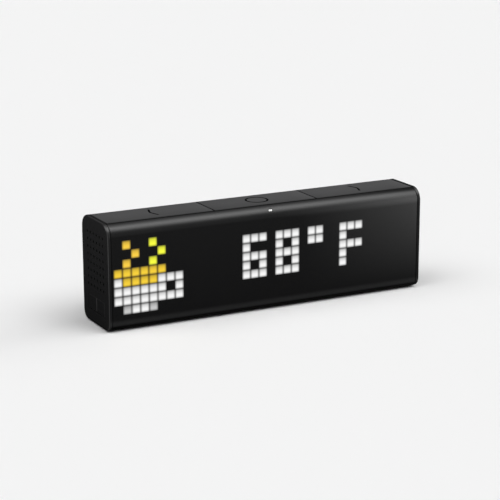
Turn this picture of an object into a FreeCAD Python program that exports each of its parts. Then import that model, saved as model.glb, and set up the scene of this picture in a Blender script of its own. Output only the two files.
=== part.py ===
import FreeCAD, Part
import math
import os

# A smart pixel clock: a long, low case with a pixel display behind its smoked
# front, three press plates along the top, and an end cap with a speaker grille
# at each end. Lengths are in millimetres. The origin is on the table under the
# middle of the case, X runs along the front, the display faces -Y and Z is up.

# Case
body_length = 200.6
body_depth = 36.6
body_height = 61.0
foot_height = 0.6
top_edge_radius = 7.5
bottom_edge_radius = 5.5
wall = 1.8
shell_end_bevel = 0.45
bottom_seam_inset = 7.7
bottom_seam_gap = 0.15
bottom_lap = 2.0
lap_clearance = 0.1
rib_thickness = 1.2
shelf_inset = 1.1

# End caps
cap_thickness = 2.1
cap_edge_radius = 0.9
cap_edge_steps = 3
cap_seam = 0.25
tongue_length = 5.0
tongue_thickness = 1.2
tongue_width = 12.0
tongue_clearance = 0.15

# How far the grille and the keys sit ahead of the cap's middle
cap_feature_offset = 1.0

# Speaker grilles
grille_pitch = 4.3
grille_hole_diameter = 1.8
grille_flat_count = 8
cloth_thickness = 0.25
cloth_margin = 0.6

# Speakers
speaker_depth = 6.0
speaker_front_gap = 0.5
speaker_back_gap = 2.55
speaker_lower_gap = 1.3
speaker_upper_gap = 3.45
cone_radius = 10.2
cone_throat_radius = 6.4
cone_thickness = 0.5
cone_clearance = 0.1
speaker_flat_count = 24
magnet_diameter = 16.0
magnet_thickness = 4.0

# Pixel display
pixel_pitch = 5.24
grid_wall = 0.5
grid_depth = 3.0
grid_clearance = 0.15
display_end_gap = 0.3
display_edge_margin = 9.0
diffuser_thickness = 0.3
display_board_thickness = 1.2

# Top press plates, their tray and the board below it
plate_margin = 5.4
plate_thickness = 1.8
plate_gap = 0.5
plate_bevel = 0.2
plate_travel = 0.5
stop_clearance = 0.1
tray_thickness = 1.4
tray_overlap = 0.6
tray_clearance = 0.2
tray_end_clearance = 0.6
peg_length = 3.0
peg_width = 2.0
peg_clearance = 0.1
peg_inset_x = 4.0
peg_inset_y = 1.8
hook_reach = 0.7
hook_thickness = 0.9
hook_gap = 0.05
board_thickness = 1.2
button_board_gap = 1.7
button_board_overhang = 6.5

# Push switches
switch_width = 4.2
switch_height = 1.3
switch_window_clearance = 0.4
stem_width = 2.0
stem_clearance = 0.1
stem_gap = 0.05

# Light sensor behind the upper front edge
sensor_x = 0.9
sensor_angle = 40.0
sensor_window_length = 3.6
sensor_window_height = 2.2
sensor_window_depth = 2.2
sensor_window_clearance = 0.05
sensor_chip_length = 2.4
sensor_chip_height = 1.2
sensor_tab_width = 6.0
sensor_notch_clearance = 0.5

# Keys in the end caps and the boards behind them
key_length = 11.2
key_height = 8.0
key_centre_height = 12.25
key_gap = 0.3
key_bevel = 0.45
key_travel = 0.4
key_lip_thickness = 0.9
key_lip_reach = 0.5
key_stop_gap = 0.05
side_board_inset = 0.85
side_board_thickness = 1.0
side_board_clearance = 0.4
side_post_size = 2.4

# Main board
main_board_length = 92.0
main_board_front_gap = 1.1
main_board_back_gap = 0.2
main_board_height = 9.0
board_rest_size = 4.0
clip_width = 5.0
clip_thickness = 1.2
clip_overhang = 0.8
clip_gap = 0.05
clip_inset = 3.9
radio_can_length = 18.0
radio_can_depth = 12.0
radio_can_height = 2.6
radio_can_inset = 11.0
processor_size = 12.0
processor_height = 1.2
processor_inset = 20.0
chip_size = 5.0
chip_height = 1.4
chip_count = 3
chip_row_inset = 4.6

# Socket and the pocket around it
socket_width = 7.6
socket_height = 2.8
socket_length = 5.6
socket_wall = 0.35
socket_tongue_width = 5.5
socket_tongue_thickness = 0.7
socket_clearance = 0.1
pocket_width = 13.0
pocket_height = 9.0
pocket_depth = 5.2
pocket_wall = 1.2

# Flat cables and their connectors
ribbon_thickness = 0.3
ribbon_width = 8.0
lead_width = 2.0
cable_gap = 0.25
ribbon_sag = 6.0
ribbon_lead_in = 4.5
connector_length = 12.0
connector_depth = 2.4
connector_height = 2.0
connector_inset = 1.2
display_connector_rise = 12.8
inner_cable_inset = 11.0
button_cable_y = 3.2
button_cable_jog = 2.8

# Rubber feet
foot_end_margin = 16.5
foot_width = 5.0
foot_inset = 10.5

# Edges are picked by place to within this
match_tolerance = 0.01

half_length = body_length / 2
half_depth = body_depth / 2
cap_inner_x = half_length - cap_thickness
shell_end_x = cap_inner_x - cap_seam
case_floor = foot_height + wall
front_inner_y = -half_depth + wall
back_inner_y = half_depth - wall
bottom_seam_y = -half_depth + bottom_seam_inset
cap_feature_y = -cap_feature_offset

pixel_columns = int((2 * (shell_end_x - display_end_gap) - grid_wall) / pixel_pitch)
pixel_rows = int((body_height - 2 * display_edge_margin - grid_wall) / pixel_pitch)
display_centre_height = (foot_height + body_height) / 2
grid_half_length = (pixel_columns * pixel_pitch + grid_wall) / 2
grid_half_height = (pixel_rows * pixel_pitch + grid_wall) / 2
grid_bottom = display_centre_height - grid_half_height
grid_top = display_centre_height + grid_half_height
diffuser_back_y = front_inner_y + diffuser_thickness
grid_back_y = diffuser_back_y + grid_depth
display_back_y = grid_back_y + display_board_thickness
display_connector_height = grid_bottom + display_connector_rise

plate_bottom = body_height - plate_thickness
tray_top = plate_bottom - plate_travel - stop_clearance
tray_bottom = tray_top - tray_thickness
plate_depth = body_depth - 2 * plate_margin
plate_length = (2 * cap_inner_x - 4 * plate_gap) / 3
plate_pitch = plate_length + plate_gap
opening_half = plate_depth / 2 + plate_gap
shelf_inner = opening_half - shelf_inset
button_board_half = plate_depth / 2 - peg_inset_y - peg_width - button_board_gap
button_board_bottom = tray_bottom - board_thickness

key_lip_x = cap_inner_x - key_stop_gap - key_lip_thickness
key_lip_half = key_height / 2 + key_gap + key_lip_reach
side_switch_x = key_lip_x - key_travel - stop_clearance
side_board_x = side_switch_x - switch_height
side_board_inner_x = side_board_x - side_board_thickness
side_board_front_y = display_back_y + side_board_clearance
side_board_back_y = cap_feature_y + key_gap / 2 + key_length - side_board_inset
side_post_offset = key_lip_half + side_board_clearance + side_post_size / 2
side_board_half = side_post_offset + side_post_size / 2

speaker_front_x = -cap_inner_x + cloth_thickness
speaker_back_x = speaker_front_x + speaker_depth
speaker_front_y = display_back_y + speaker_front_gap
speaker_back_y = back_inner_y - tongue_clearance - tongue_thickness - speaker_back_gap
speaker_bottom = key_centre_height + side_board_half + speaker_lower_gap
speaker_top = tray_bottom - speaker_upper_gap
speaker_centre_y = (speaker_front_y + speaker_back_y) / 2
speaker_centre_height = (speaker_bottom + speaker_top) / 2
grille_columns = 1 + int((speaker_back_y - speaker_front_y - grille_hole_diameter) / grille_pitch)
grille_rows = 1 + int((speaker_top - speaker_bottom - grille_hole_diameter) / grille_pitch)

socket_mouth_y = half_depth - pocket_depth
main_board_top = main_board_height + board_thickness
main_board_front_y = display_back_y + main_board_front_gap
main_board_back_y = socket_mouth_y - pocket_wall - main_board_back_gap
main_board_half = main_board_length / 2
radio_can_x = -main_board_half + radio_can_inset + radio_can_length / 2
processor_x = main_board_half - processor_inset - processor_size / 2
chip_row_start = radio_can_x + radio_can_length / 2
chip_pitch = (processor_x - processor_size / 2 - chip_row_start) / chip_count
chip_row_y = main_board_front_y + chip_row_inset
inner_cable_x = main_board_half - inner_cable_inset
pocket_centre_height = main_board_top + socket_height / 2
cable_height = main_board_top + connector_height / 2
clip_y = main_board_back_y - clip_inset
lead_y = clip_y - (clip_width + lead_width) / 2 - cable_gap
side_cable_y = lead_y - (lead_width + ribbon_width) / 2 - cable_gap
display_cable_y = main_board_front_y + connector_inset + connector_depth / 2


def vector(x, y, z):
    return FreeCAD.Vector(x, y, z)


def block(x0, x1, y0, y1, z0, z1):
    """A box between two corners."""
    return Part.makeBox(x1 - x0, y1 - y0, z1 - z0, vector(x0, y0, z0))


def centred(x, y, z0, length, depth, height):
    """A box standing at height z0, centred on x and y."""
    return block(x - length / 2, x + length / 2, y - depth / 2, y + depth / 2, z0, z0 + height)


def fused(shapes):
    return shapes[0].multiFuse(shapes[1:]).removeSplitter()


def mirrored(shape):
    """The same piece for the other end of the case."""
    return shape.mirror(vector(0, 0, 0), vector(1, 0, 0))


def corner_arc(x, centre_y, centre_z, radius, start_degrees):
    """A quarter turn in the plane at x: its edge, first point and last point."""
    points = []
    for step in (0, 45, 90):
        angle = math.radians(start_degrees + step)
        points.append(vector(x, centre_y + radius * math.cos(angle), centre_z + radius * math.sin(angle)))
    return Part.Arc(*points).toShape(), points[0], points[2]


def case_wire(x, inset):
    """The case's rounded end outline at x, drawn in by inset."""
    low_y = half_depth - bottom_edge_radius
    high_y = half_depth - top_edge_radius
    low_z = foot_height + bottom_edge_radius
    high_z = body_height - top_edge_radius
    low_radius = bottom_edge_radius - inset
    high_radius = top_edge_radius - inset
    corners = [
        corner_arc(x, high_y, high_z, high_radius, 0),
        corner_arc(x, -high_y, high_z, high_radius, 90),
        corner_arc(x, -low_y, low_z, low_radius, 180),
        corner_arc(x, low_y, low_z, low_radius, 270),
    ]
    edges = []
    for index, (arc, start, end) in enumerate(corners):
        next_start = corners[(index + 1) % len(corners)][1]
        edges.append(arc)
        edges.append(Part.LineSegment(end, next_start).toShape())
    return Part.Wire(edges)


def case_prism(x0, x1, inset):
    return Part.Face(case_wire(x0, inset)).extrude(vector(x1 - x0, 0, 0))


def case_tube():
    """The hollow case between the end caps, with its outer end edges bevelled."""
    prism = case_prism(-shell_end_x, shell_end_x, 0)
    end_edges = [edge for edge in prism.Edges
                 if abs(abs(edge.CenterOfMass.x) - shell_end_x) < match_tolerance]
    prism = prism.makeChamfer(shell_end_bevel, end_edges)
    return prism.cut(case_prism(-half_length, half_length, wall))


def sensor_surface():
    """The point of the upper front edge where the sensor looks out, and its outward direction."""
    angle = math.radians(sensor_angle)
    outward = vector(0, -math.cos(angle), math.sin(angle))
    arc_centre = vector(sensor_x, -half_depth + top_edge_radius, body_height - top_edge_radius)
    return arc_centre + outward * top_edge_radius, outward


def sensor_plug(clearance):
    """The window's block, square to the curved edge and trimmed to the case's outline."""
    surface, outward = sensor_surface()
    length = sensor_window_length + 2 * clearance
    height = sensor_window_height + 2 * clearance
    plug = Part.makeBox(length, height, sensor_window_depth + wall,
                        vector(-length / 2, -height / 2, -sensor_window_depth))
    plug.Placement = FreeCAD.Placement(surface, FreeCAD.Rotation(vector(0, 0, 1), outward))
    return plug.common(case_prism(-half_length, half_length, 0))


def front_shell():
    """The smoked wrap-around front, with ribs for the display and a shelf for the tray."""
    shell = case_tube().common(block(-half_length, half_length, -half_depth, bottom_seam_y, 0, body_height))
    middle = body_height / 2
    shell = shell.cut(block(-half_length, half_length, -opening_half, half_depth, middle, body_height))
    shell = shell.cut(block(-half_length, half_length, bottom_seam_y - bottom_lap, bottom_seam_y,
                            foot_height + wall / 2, case_floor))
    upper_rib = grid_top + grid_clearance
    lower_rib = grid_bottom - grid_clearance
    ribs = [
        block(-grid_half_length, grid_half_length, front_inner_y, display_back_y, upper_rib,
              upper_rib + rib_thickness),
        block(-grid_half_length, grid_half_length, front_inner_y, display_back_y, lower_rib - rib_thickness,
              lower_rib),
        block(-shell_end_x, shell_end_x, front_inner_y, -shelf_inner, button_board_bottom, tray_bottom),
    ]
    notch_half = sensor_tab_width / 2 + sensor_notch_clearance
    notch = block(sensor_x - notch_half, sensor_x + notch_half, front_inner_y, -shelf_inner,
                  button_board_bottom, tray_bottom)
    notch = notch.common(case_prism(-half_length, half_length, wall))
    return fused([shell] + ribs).cut(notch).cut(sensor_plug(sensor_window_clearance))


def board_rests():
    """Four square pillars under the main board's corners."""
    half = board_rest_size / 2
    x = main_board_half - half
    ys = (main_board_front_y + half, main_board_back_y - half)
    height = main_board_height - case_floor
    return [centred(side * x, y, case_floor, board_rest_size, board_rest_size, height)
            for side in (-1, 1) for y in ys]


def board_clips():
    """A sprung clip at each end of the main board, hooked over its edge."""
    clips = []
    inner_x = main_board_half + clip_gap
    outer_x = inner_x + clip_thickness
    top = main_board_top + clip_gap + clip_thickness
    for side in (-1, 1):
        stalk = centred(side * (inner_x + outer_x) / 2, clip_y, case_floor, clip_thickness, clip_width,
                        top - case_floor)
        tip_x = main_board_half - clip_overhang
        hook = centred(side * (tip_x + outer_x) / 2, clip_y, main_board_top + clip_gap, outer_x - tip_x,
                       clip_width, clip_thickness)
        clips += [stalk, hook]
    return clips


def rear_housing():
    """Back and base in one moulding, with the socket pocket and the main board's rests and clips."""
    shell = case_tube().common(
        block(-half_length, half_length, bottom_seam_y + bottom_seam_gap, half_depth, 0, body_height)
    )
    middle = body_height / 2
    shell = shell.cut(block(-half_length, half_length, -half_depth, opening_half, middle, body_height))
    lap = block(-shell_end_x, shell_end_x, bottom_seam_y - bottom_lap + bottom_seam_gap,
                bottom_seam_y + bottom_seam_gap, foot_height + wall / 2 + lap_clearance, case_floor)
    shelf = block(-shell_end_x, shell_end_x, shelf_inner, back_inner_y, button_board_bottom, tray_bottom)
    tub = block(-pocket_width / 2 - pocket_wall, pocket_width / 2 + pocket_wall, socket_mouth_y - pocket_wall,
                back_inner_y, pocket_centre_height - pocket_height / 2 - pocket_wall,
                pocket_centre_height + pocket_height / 2 + pocket_wall)
    shell = fused([shell, lap, shelf, tub] + board_rests() + board_clips())
    pocket = block(-pocket_width / 2, pocket_width / 2, socket_mouth_y, half_depth,
                   pocket_centre_height - pocket_height / 2, pocket_centre_height + pocket_height / 2)
    window_half = socket_width / 2 + socket_clearance
    window = block(-window_half, window_half, socket_mouth_y - pocket_wall, socket_mouth_y,
                   main_board_top - socket_clearance, main_board_top + socket_height + socket_clearance)
    return shell.cut(pocket).cut(window)


def rubber_feet():
    """Two long round-ended strips under the base."""
    half = half_length - foot_end_margin
    straight = half - foot_width / 2
    centre_y = half_depth - foot_inset
    strips = []
    for y in (-centre_y, centre_y):
        corners = [vector(-straight, y - foot_width / 2, 0), vector(straight, y - foot_width / 2, 0),
                   vector(straight, y + foot_width / 2, 0), vector(-straight, y + foot_width / 2, 0)]
        right_end = Part.Arc(corners[1], vector(half, y, 0), corners[2])
        left_end = Part.Arc(corners[3], vector(-half, y, 0), corners[0])
        outline = [Part.LineSegment(corners[0], corners[1]).toShape(), right_end.toShape(),
                   Part.LineSegment(corners[2], corners[3]).toShape(), left_end.toShape()]
        strips.append(Part.Face(Part.Wire(outline)).extrude(vector(0, 0, foot_height)))
    return strips


def light_grid():
    """The moulded grid with one square light well behind every pixel."""
    grid = block(-grid_half_length, grid_half_length, diffuser_back_y, grid_back_y, grid_bottom, grid_top)
    well = pixel_pitch - grid_wall
    wells = []
    for column in range(pixel_columns):
        x = (column - (pixel_columns - 1) / 2) * pixel_pitch
        for row in range(pixel_rows):
            z = display_centre_height + (row - (pixel_rows - 1) / 2) * pixel_pitch
            wells.append(block(x - well / 2, x + well / 2, diffuser_back_y, grid_back_y, z - well / 2,
                               z + well / 2))
    return grid.cut(Part.makeCompound(wells))


def diffuser_sheet():
    return block(-grid_half_length, grid_half_length, front_inner_y, diffuser_back_y, grid_bottom, grid_top)


def display_board():
    return block(-grid_half_length, grid_half_length, grid_back_y, display_back_y, grid_bottom, grid_top)


def plate_centre(index):
    return (index - 1) * plate_pitch


def peg_places(centre_x):
    """Where a plate's two guide pegs stand: opposite corners, as (x, y, outward side)."""
    x = plate_length / 2 - peg_inset_x
    y = plate_depth / 2 - peg_inset_y - peg_width / 2
    return [(centre_x - x, -y, -1), (centre_x + x, y, 1)]


def hooked_peg(x, y, side):
    """A guide peg that passes through the tray and hooks under it."""
    hook_top = tray_bottom - hook_gap
    bottom = hook_top - hook_thickness
    stalk = centred(x, y, bottom, peg_length, peg_width, plate_bottom - bottom)
    hook = centred(x + side * (peg_length + hook_reach) / 2, y, bottom, hook_reach, peg_width, hook_thickness)
    return [stalk, hook]


def press_plate(index):
    """One top plate, cut from the case's own outline, with its guide pegs."""
    centre_x = plate_centre(index)
    x0 = centre_x - plate_length / 2
    x1 = centre_x + plate_length / 2
    plate = case_prism(x0, x1, 0)
    plate = plate.common(block(x0, x1, -plate_depth / 2, plate_depth / 2, plate_bottom, body_height))
    plate = plate.makeChamfer(plate_bevel, [edge for edge in plate.Edges if on_plate_rim(edge, x0, x1)])
    pieces = [plate]
    for x, y, side in peg_places(centre_x):
        pieces += hooked_peg(x, y, side)
    return fused(pieces)


def on_plate_rim(edge, x0, x1):
    """Whether an edge belongs to the rim of a plate's upper face."""
    box = edge.BoundBox
    high = box.ZMin > plate_bottom + plate_thickness / 2
    at_end = box.XLength < match_tolerance and min(abs(box.XMin - x0), abs(box.XMin - x1)) < match_tolerance
    at_side = box.YLength < match_tolerance and abs(abs(box.YMin) - plate_depth / 2) < match_tolerance
    return high and (at_end or at_side)


def button_tray():
    """The fixed deck under the plates, with switch windows and peg slots."""
    end_x = shell_end_x - tray_end_clearance
    half_y = opening_half + tray_overlap
    tray = case_prism(-end_x, end_x, wall + tray_clearance)
    tray = tray.common(block(-end_x, end_x, -half_y, half_y, tray_bottom, tray_top))
    window = switch_width + 2 * switch_window_clearance
    for index in range(3):
        x = plate_centre(index)
        tray = tray.cut(centred(x, 0, tray_bottom, window, window, tray_thickness))
        for peg_x, peg_y, side in peg_places(x):
            tray = tray.cut(centred(peg_x, peg_y, tray_bottom, peg_length + 2 * peg_clearance,
                                    peg_width + 2 * peg_clearance, tray_thickness))
    return tray


def button_board():
    """The strip board that carries the three top switches, with a tab for the light sensor."""
    half = plate_pitch + button_board_overhang
    strip = block(-half, half, -button_board_half, button_board_half, button_board_bottom, tray_bottom)
    tab = block(sensor_x - sensor_tab_width / 2, sensor_x + sensor_tab_width / 2, sensor_tab_end_y(),
                -button_board_half, button_board_bottom, tray_bottom)
    return fused([strip, tab])


def sensor_tab_end_y():
    surface, outward = sensor_surface()
    return (surface - outward * sensor_window_depth).y + sensor_chip_height


def light_sensor():
    """The sensor chip on the end of the board's tab, cut clear of the window's inner end."""
    back_y = sensor_tab_end_y()
    half = sensor_chip_length / 2
    chip = block(sensor_x - half, sensor_x + half, back_y - sensor_chip_height, back_y, button_board_bottom,
                 tray_bottom)
    surface, outward = sensor_surface()
    inner_end = surface - outward * (sensor_window_depth + sensor_window_clearance)
    beyond = Part.makeBox(body_depth, body_depth, body_depth, vector(-half_depth, -half_depth, 0))
    beyond.Placement = FreeCAD.Placement(inner_end, FreeCAD.Rotation(vector(0, 0, 1), outward))
    return chip.cut(beyond)


def top_switch(index):
    """A push switch standing on the button board, with the slot its stem slides in."""
    x = plate_centre(index)
    slot = stem_width + 2 * stem_clearance
    body = centred(x, 0, tray_bottom, switch_width, switch_width, switch_height)
    return body.cut(centred(x, 0, tray_bottom + stem_gap, slot, slot, switch_height))


def top_stem(index):
    """The stem that the plate pushes down."""
    foot = tray_bottom + stem_gap + plate_travel + stop_clearance
    return centred(plate_centre(index), 0, foot, stem_width, stem_width, plate_bottom - stem_gap - foot)


def rounded_cap_plate():
    """The left cap's plate: its outer rim rounds over in a few flat steps."""
    sections = []
    for step in range(cap_edge_steps + 1):
        angle = math.pi / 2 * step / cap_edge_steps
        inset = cap_edge_radius * (1 - math.sin(angle))
        sections.append(case_wire(-half_length + cap_edge_radius * (1 - math.cos(angle)), inset))
    rim = Part.makeLoft(sections, True, True)
    return fused([rim, case_prism(-half_length + cap_edge_radius, -cap_inner_x, 0)])


def round_points(x, y, z, radius, flats):
    """Corners of a circle in the plane at x, drawn with flats to keep repeated round pieces light."""
    angles = [2 * math.pi * (corner + 0.5) / flats for corner in range(flats + 1)]
    return [vector(x, y + radius * math.cos(angle), z + radius * math.sin(angle)) for angle in angles]


def grille_hole(y, z):
    outline = round_points(-half_length, y, z, grille_hole_diameter / 2, grille_flat_count)
    return Part.Face(Part.makePolygon(outline)).extrude(vector(cap_thickness, 0, 0))


def grille_holes():
    holes = []
    for column in range(grille_columns):
        y = cap_feature_y + (column - (grille_columns - 1) / 2) * grille_pitch
        for row in range(grille_rows):
            z = speaker_centre_height + (row - (grille_rows - 1) / 2) * grille_pitch
            holes.append(grille_hole(y, z))
    return Part.makeCompound(holes)


def cap_tongues():
    """Flat tongues that slide in along the base and the back."""
    start = -cap_inner_x
    end = start + tongue_length
    half = tongue_width / 2
    low = case_floor + tongue_clearance
    back = back_inner_y - tongue_clearance
    return [
        block(start, end, -half, half, low, low + tongue_thickness),
        block(start, end, back - tongue_thickness, back, speaker_centre_height - half,
              speaker_centre_height + half),
    ]


def side_posts():
    """Two posts inside each cap that carry the small switch board."""
    half = side_post_size / 2
    y = cap_feature_y
    heights = (key_centre_height - side_post_offset, key_centre_height + side_post_offset)
    return [block(-cap_inner_x, -side_board_x, y - half, y + half, z - half, z + half) for z in heights]


def end_cap(key_room):
    """The left cap: rounded rim, grille, tongues, posts and a window for keys that take up key_room."""
    cap = fused([rounded_cap_plate()] + cap_tongues() + side_posts())
    half_y = key_room / 2 + key_gap
    half_z = key_height / 2 + key_gap
    window = block(-half_length, -cap_inner_x, cap_feature_y - half_y, cap_feature_y + half_y,
                   key_centre_height - half_z, key_centre_height + half_z)
    return cap.cut(grille_holes()).cut(window)


def side_key(y):
    """A key in the left cap: a bevelled face with lips behind the cap's wall."""
    low_y = y - key_length / 2
    high_y = y + key_length / 2
    half_z = key_height / 2
    face = block(-half_length, -cap_inner_x + key_stop_gap, low_y, high_y, key_centre_height - half_z,
                 key_centre_height + half_z)
    rim = [edge for edge in face.Edges if abs(edge.CenterOfMass.x + half_length) < match_tolerance]
    face = face.makeChamfer(key_bevel, rim)
    lip = block(-cap_inner_x + key_stop_gap, -key_lip_x, max(low_y, side_board_front_y), high_y,
                key_centre_height - key_lip_half, key_centre_height + key_lip_half)
    return fused([face, lip])


def volume_key_y(index):
    return cap_feature_y + (index - 0.5) * (key_length + key_gap)


def side_board():
    return block(-side_board_x, -side_board_inner_x, side_board_front_y, side_board_back_y,
                 key_centre_height - side_board_half, key_centre_height + side_board_half)


def side_switch(y):
    """A push switch on the side board, with the slot its stem slides in."""
    half = switch_width / 2
    slot_half = stem_width / 2 + stem_clearance
    z = key_centre_height
    body = block(-side_switch_x, -side_board_x, y - half, y + half, z - half, z + half)
    return body.cut(block(-side_switch_x, -side_board_x - stem_gap, y - slot_half, y + slot_half,
                          z - slot_half, z + slot_half))


def side_stem(y):
    """The stem that a side key pushes in."""
    half = stem_width / 2
    z = key_centre_height
    foot = -side_board_x - stem_gap - key_travel - stop_clearance
    return block(-key_lip_x + stem_gap, foot, y - half, y + half, z - half, z + half)


def grille_cloth():
    """Fine cloth glued behind the grille holes."""
    half_y = (grille_columns - 1) * grille_pitch / 2 + grille_hole_diameter / 2 + cloth_margin
    half_z = (grille_rows - 1) * grille_pitch / 2 + grille_hole_diameter / 2 + cloth_margin
    return block(-cap_inner_x, speaker_front_x, cap_feature_y - half_y, cap_feature_y + half_y,
                 speaker_centre_height - half_z, speaker_centre_height + half_z)


def cone_radius_at(x):
    """The frame's inner radius, which narrows evenly from its front to its back."""
    share = (x - speaker_front_x) / speaker_depth
    return cone_radius + (cone_throat_radius - cone_radius) * share


def speaker_round(x0, radius0, x1, radius1):
    """A solid on the speaker's axis that runs evenly from one radius to the other, with flat sides."""
    front = round_points(x0, speaker_centre_y, speaker_centre_height, radius0, speaker_flat_count)
    back = round_points(x1, speaker_centre_y, speaker_centre_height, radius1, speaker_flat_count)
    faces = [Part.Face(Part.makePolygon(front)), Part.Face(Part.makePolygon(back))]
    for side in range(speaker_flat_count):
        corners = [front[side], front[side + 1], back[side + 1], back[side], front[side]]
        faces.append(Part.Face(Part.makePolygon(corners)))
    return Part.Solid(Part.Shell(faces))


def speaker_frame():
    """A rectangular frame whose conical hollow holds the cone."""
    frame = block(speaker_front_x, speaker_back_x, speaker_front_y, speaker_back_y, speaker_bottom,
                  speaker_top)
    return frame.cut(speaker_round(speaker_front_x, cone_radius, speaker_back_x, cone_throat_radius))


def speaker_cone():
    """A thin cone closed at its back by a flat dust cap."""
    front = speaker_front_x + cone_clearance
    back = speaker_back_x - cone_clearance
    inside = cone_clearance + cone_thickness
    cap_front = back - cone_thickness
    outer = speaker_round(front, cone_radius_at(front) - cone_clearance, back,
                          cone_radius_at(back) - cone_clearance)
    return outer.cut(speaker_round(front, cone_radius_at(front) - inside, cap_front,
                                   cone_radius_at(cap_front) - inside))


def speaker_magnet():
    radius = magnet_diameter / 2
    return speaker_round(speaker_back_x, radius, speaker_back_x + magnet_thickness, radius)


def main_board():
    return block(-main_board_half, main_board_half, main_board_front_y, main_board_back_y, main_board_height,
                 main_board_top)


def radio_can():
    return centred(radio_can_x, 0, main_board_top, radio_can_length, radio_can_depth, radio_can_height)


def processor():
    return centred(processor_x, 0, main_board_top, processor_size, processor_size, processor_height)


def memory_chips():
    """A row of chips, evenly spaced between the shield can and the processor."""
    return [centred(chip_row_start + (index + 0.5) * chip_pitch, chip_row_y, main_board_top, chip_size,
                    chip_size, chip_height) for index in range(chip_count)]


def usb_socket():
    """The socket's metal shell, open to the back, with its contact tongue inside."""
    half = socket_width / 2
    front_y = socket_mouth_y - socket_length
    top = main_board_top + socket_height
    shell = block(-half, half, front_y, socket_mouth_y, main_board_top, top)
    hollow = block(-half + socket_wall, half - socket_wall, front_y + socket_wall, socket_mouth_y,
                   main_board_top + socket_wall, top - socket_wall)
    middle = main_board_top + socket_height / 2
    tongue = block(-socket_tongue_width / 2, socket_tongue_width / 2, front_y, socket_mouth_y - socket_wall,
                   middle - socket_tongue_thickness / 2, middle + socket_tongue_thickness / 2)
    return fused([shell.cut(hollow), tongue])


def direction(start, end):
    length = math.hypot(end[0] - start[0], end[1] - start[1])
    return (end[0] - start[0]) / length, (end[1] - start[1]) / length


def flat_cable(path, width):
    """A flat cable folded along a path of (y, z) points, mitred at each fold, width wide about X = 0."""
    runs = [direction(path[index], path[index + 1]) for index in range(len(path) - 1)]
    one_side = []
    other_side = []
    for index, (y, z) in enumerate(path):
        before = runs[max(index - 1, 0)]
        after = runs[min(index, len(runs) - 1)]
        reach = ribbon_thickness / 2 / (1 + before[0] * after[0] + before[1] * after[1])
        step_y = -(before[1] + after[1]) * reach
        step_z = (before[0] + after[0]) * reach
        one_side.append(vector(-width / 2, y + step_y, z + step_z))
        other_side.append(vector(-width / 2, y - step_y, z - step_z))
    outline = one_side + other_side[::-1]
    return Part.Face(Part.makePolygon(outline + [outline[0]])).extrude(vector(width, 0, 0))


def lengthwise_cable(path, width, y):
    """The same for a cable along the case: its path has (x, z) points and it is width wide about y."""
    cable = flat_cable(path, width)
    cable.rotate(vector(0, 0, 0), vector(0, 0, 1), -90)
    cable.translate(vector(0, y, 0))
    return cable


def display_ribbon():
    """From the display board's back down to the main board."""
    start_y = display_back_y + connector_height / 2
    end_y = display_cable_y
    low = main_board_top + connector_height
    middle = (display_connector_height + low) / 2
    fold = abs(end_y - start_y) / 2
    cable = flat_cable([(start_y, display_connector_height), (start_y, middle + fold), (end_y, middle - fold),
                        (end_y, low)], ribbon_width)
    cable.translate(vector(inner_cable_x, 0, 0))
    return cable


def button_ribbon():
    """From the button board down the back of the case to the main board."""
    end_y = button_cable_y + button_cable_jog
    top = button_board_bottom - connector_height
    low = main_board_top + connector_height
    middle = (top + low) / 2
    cable = flat_cable([(button_cable_y, top), (button_cable_y, middle + button_cable_jog),
                        (end_y, middle - button_cable_jog), (end_y, low)], ribbon_width)
    cable.translate(vector(inner_cable_x, 0, 0))
    return cable


def side_ribbon():
    """From the left cap's switch board, sagging over the base, to the main board's end."""
    start = -side_board_inner_x + connector_depth
    end = -main_board_half + clip_overhang
    low = cable_height - ribbon_sag
    path = [(start, cable_height), (start + ribbon_lead_in, cable_height),
            (start + ribbon_lead_in + ribbon_sag, low), (end - ribbon_lead_in - ribbon_sag, low),
            (end - ribbon_lead_in, cable_height), (end, cable_height)]
    return lengthwise_cable(path, ribbon_width, side_cable_y)


def speaker_lead():
    """From the foot of the speaker's back to the main board's end."""
    start_z = speaker_bottom + lead_width
    end = -main_board_half + clip_overhang
    drop = start_z - cable_height
    path = [(speaker_back_x, start_z), (speaker_back_x + ribbon_lead_in, start_z),
            (speaker_back_x + ribbon_lead_in + drop, cable_height), (end, cable_height)]
    return lengthwise_cable(path, lead_width, lead_y)


def cable_connectors():
    """One small connector at each end of the flat cables."""
    end_x = -main_board_half + clip_overhang
    button_y = button_cable_y + button_cable_jog
    cap_connector = block(-side_board_inner_x, -side_board_inner_x + connector_depth,
                          side_cable_y - connector_length / 2, side_cable_y + connector_length / 2,
                          cable_height - connector_height / 2, cable_height + connector_height / 2)
    end_connector = block(end_x, end_x + connector_depth, side_cable_y - ribbon_width / 2 - cable_gap,
                          lead_y + lead_width / 2 + cable_gap, main_board_top,
                          main_board_top + connector_height)
    half = connector_length / 2
    return [
        cap_connector,
        mirrored(cap_connector),
        end_connector,
        mirrored(end_connector),
        centred(inner_cable_x, display_cable_y, main_board_top, connector_length, connector_depth,
                connector_height),
        centred(inner_cable_x, button_y, main_board_top, connector_length, connector_depth, connector_height),
        centred(inner_cable_x, button_cable_y, button_board_bottom - connector_height, connector_length,
                connector_depth, connector_height),
        block(inner_cable_x - half, inner_cable_x + half, display_back_y, display_back_y + connector_height,
              display_connector_height, display_connector_height + connector_depth),
    ]


def both_ends(shape):
    return [shape, mirrored(shape)]


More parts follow.
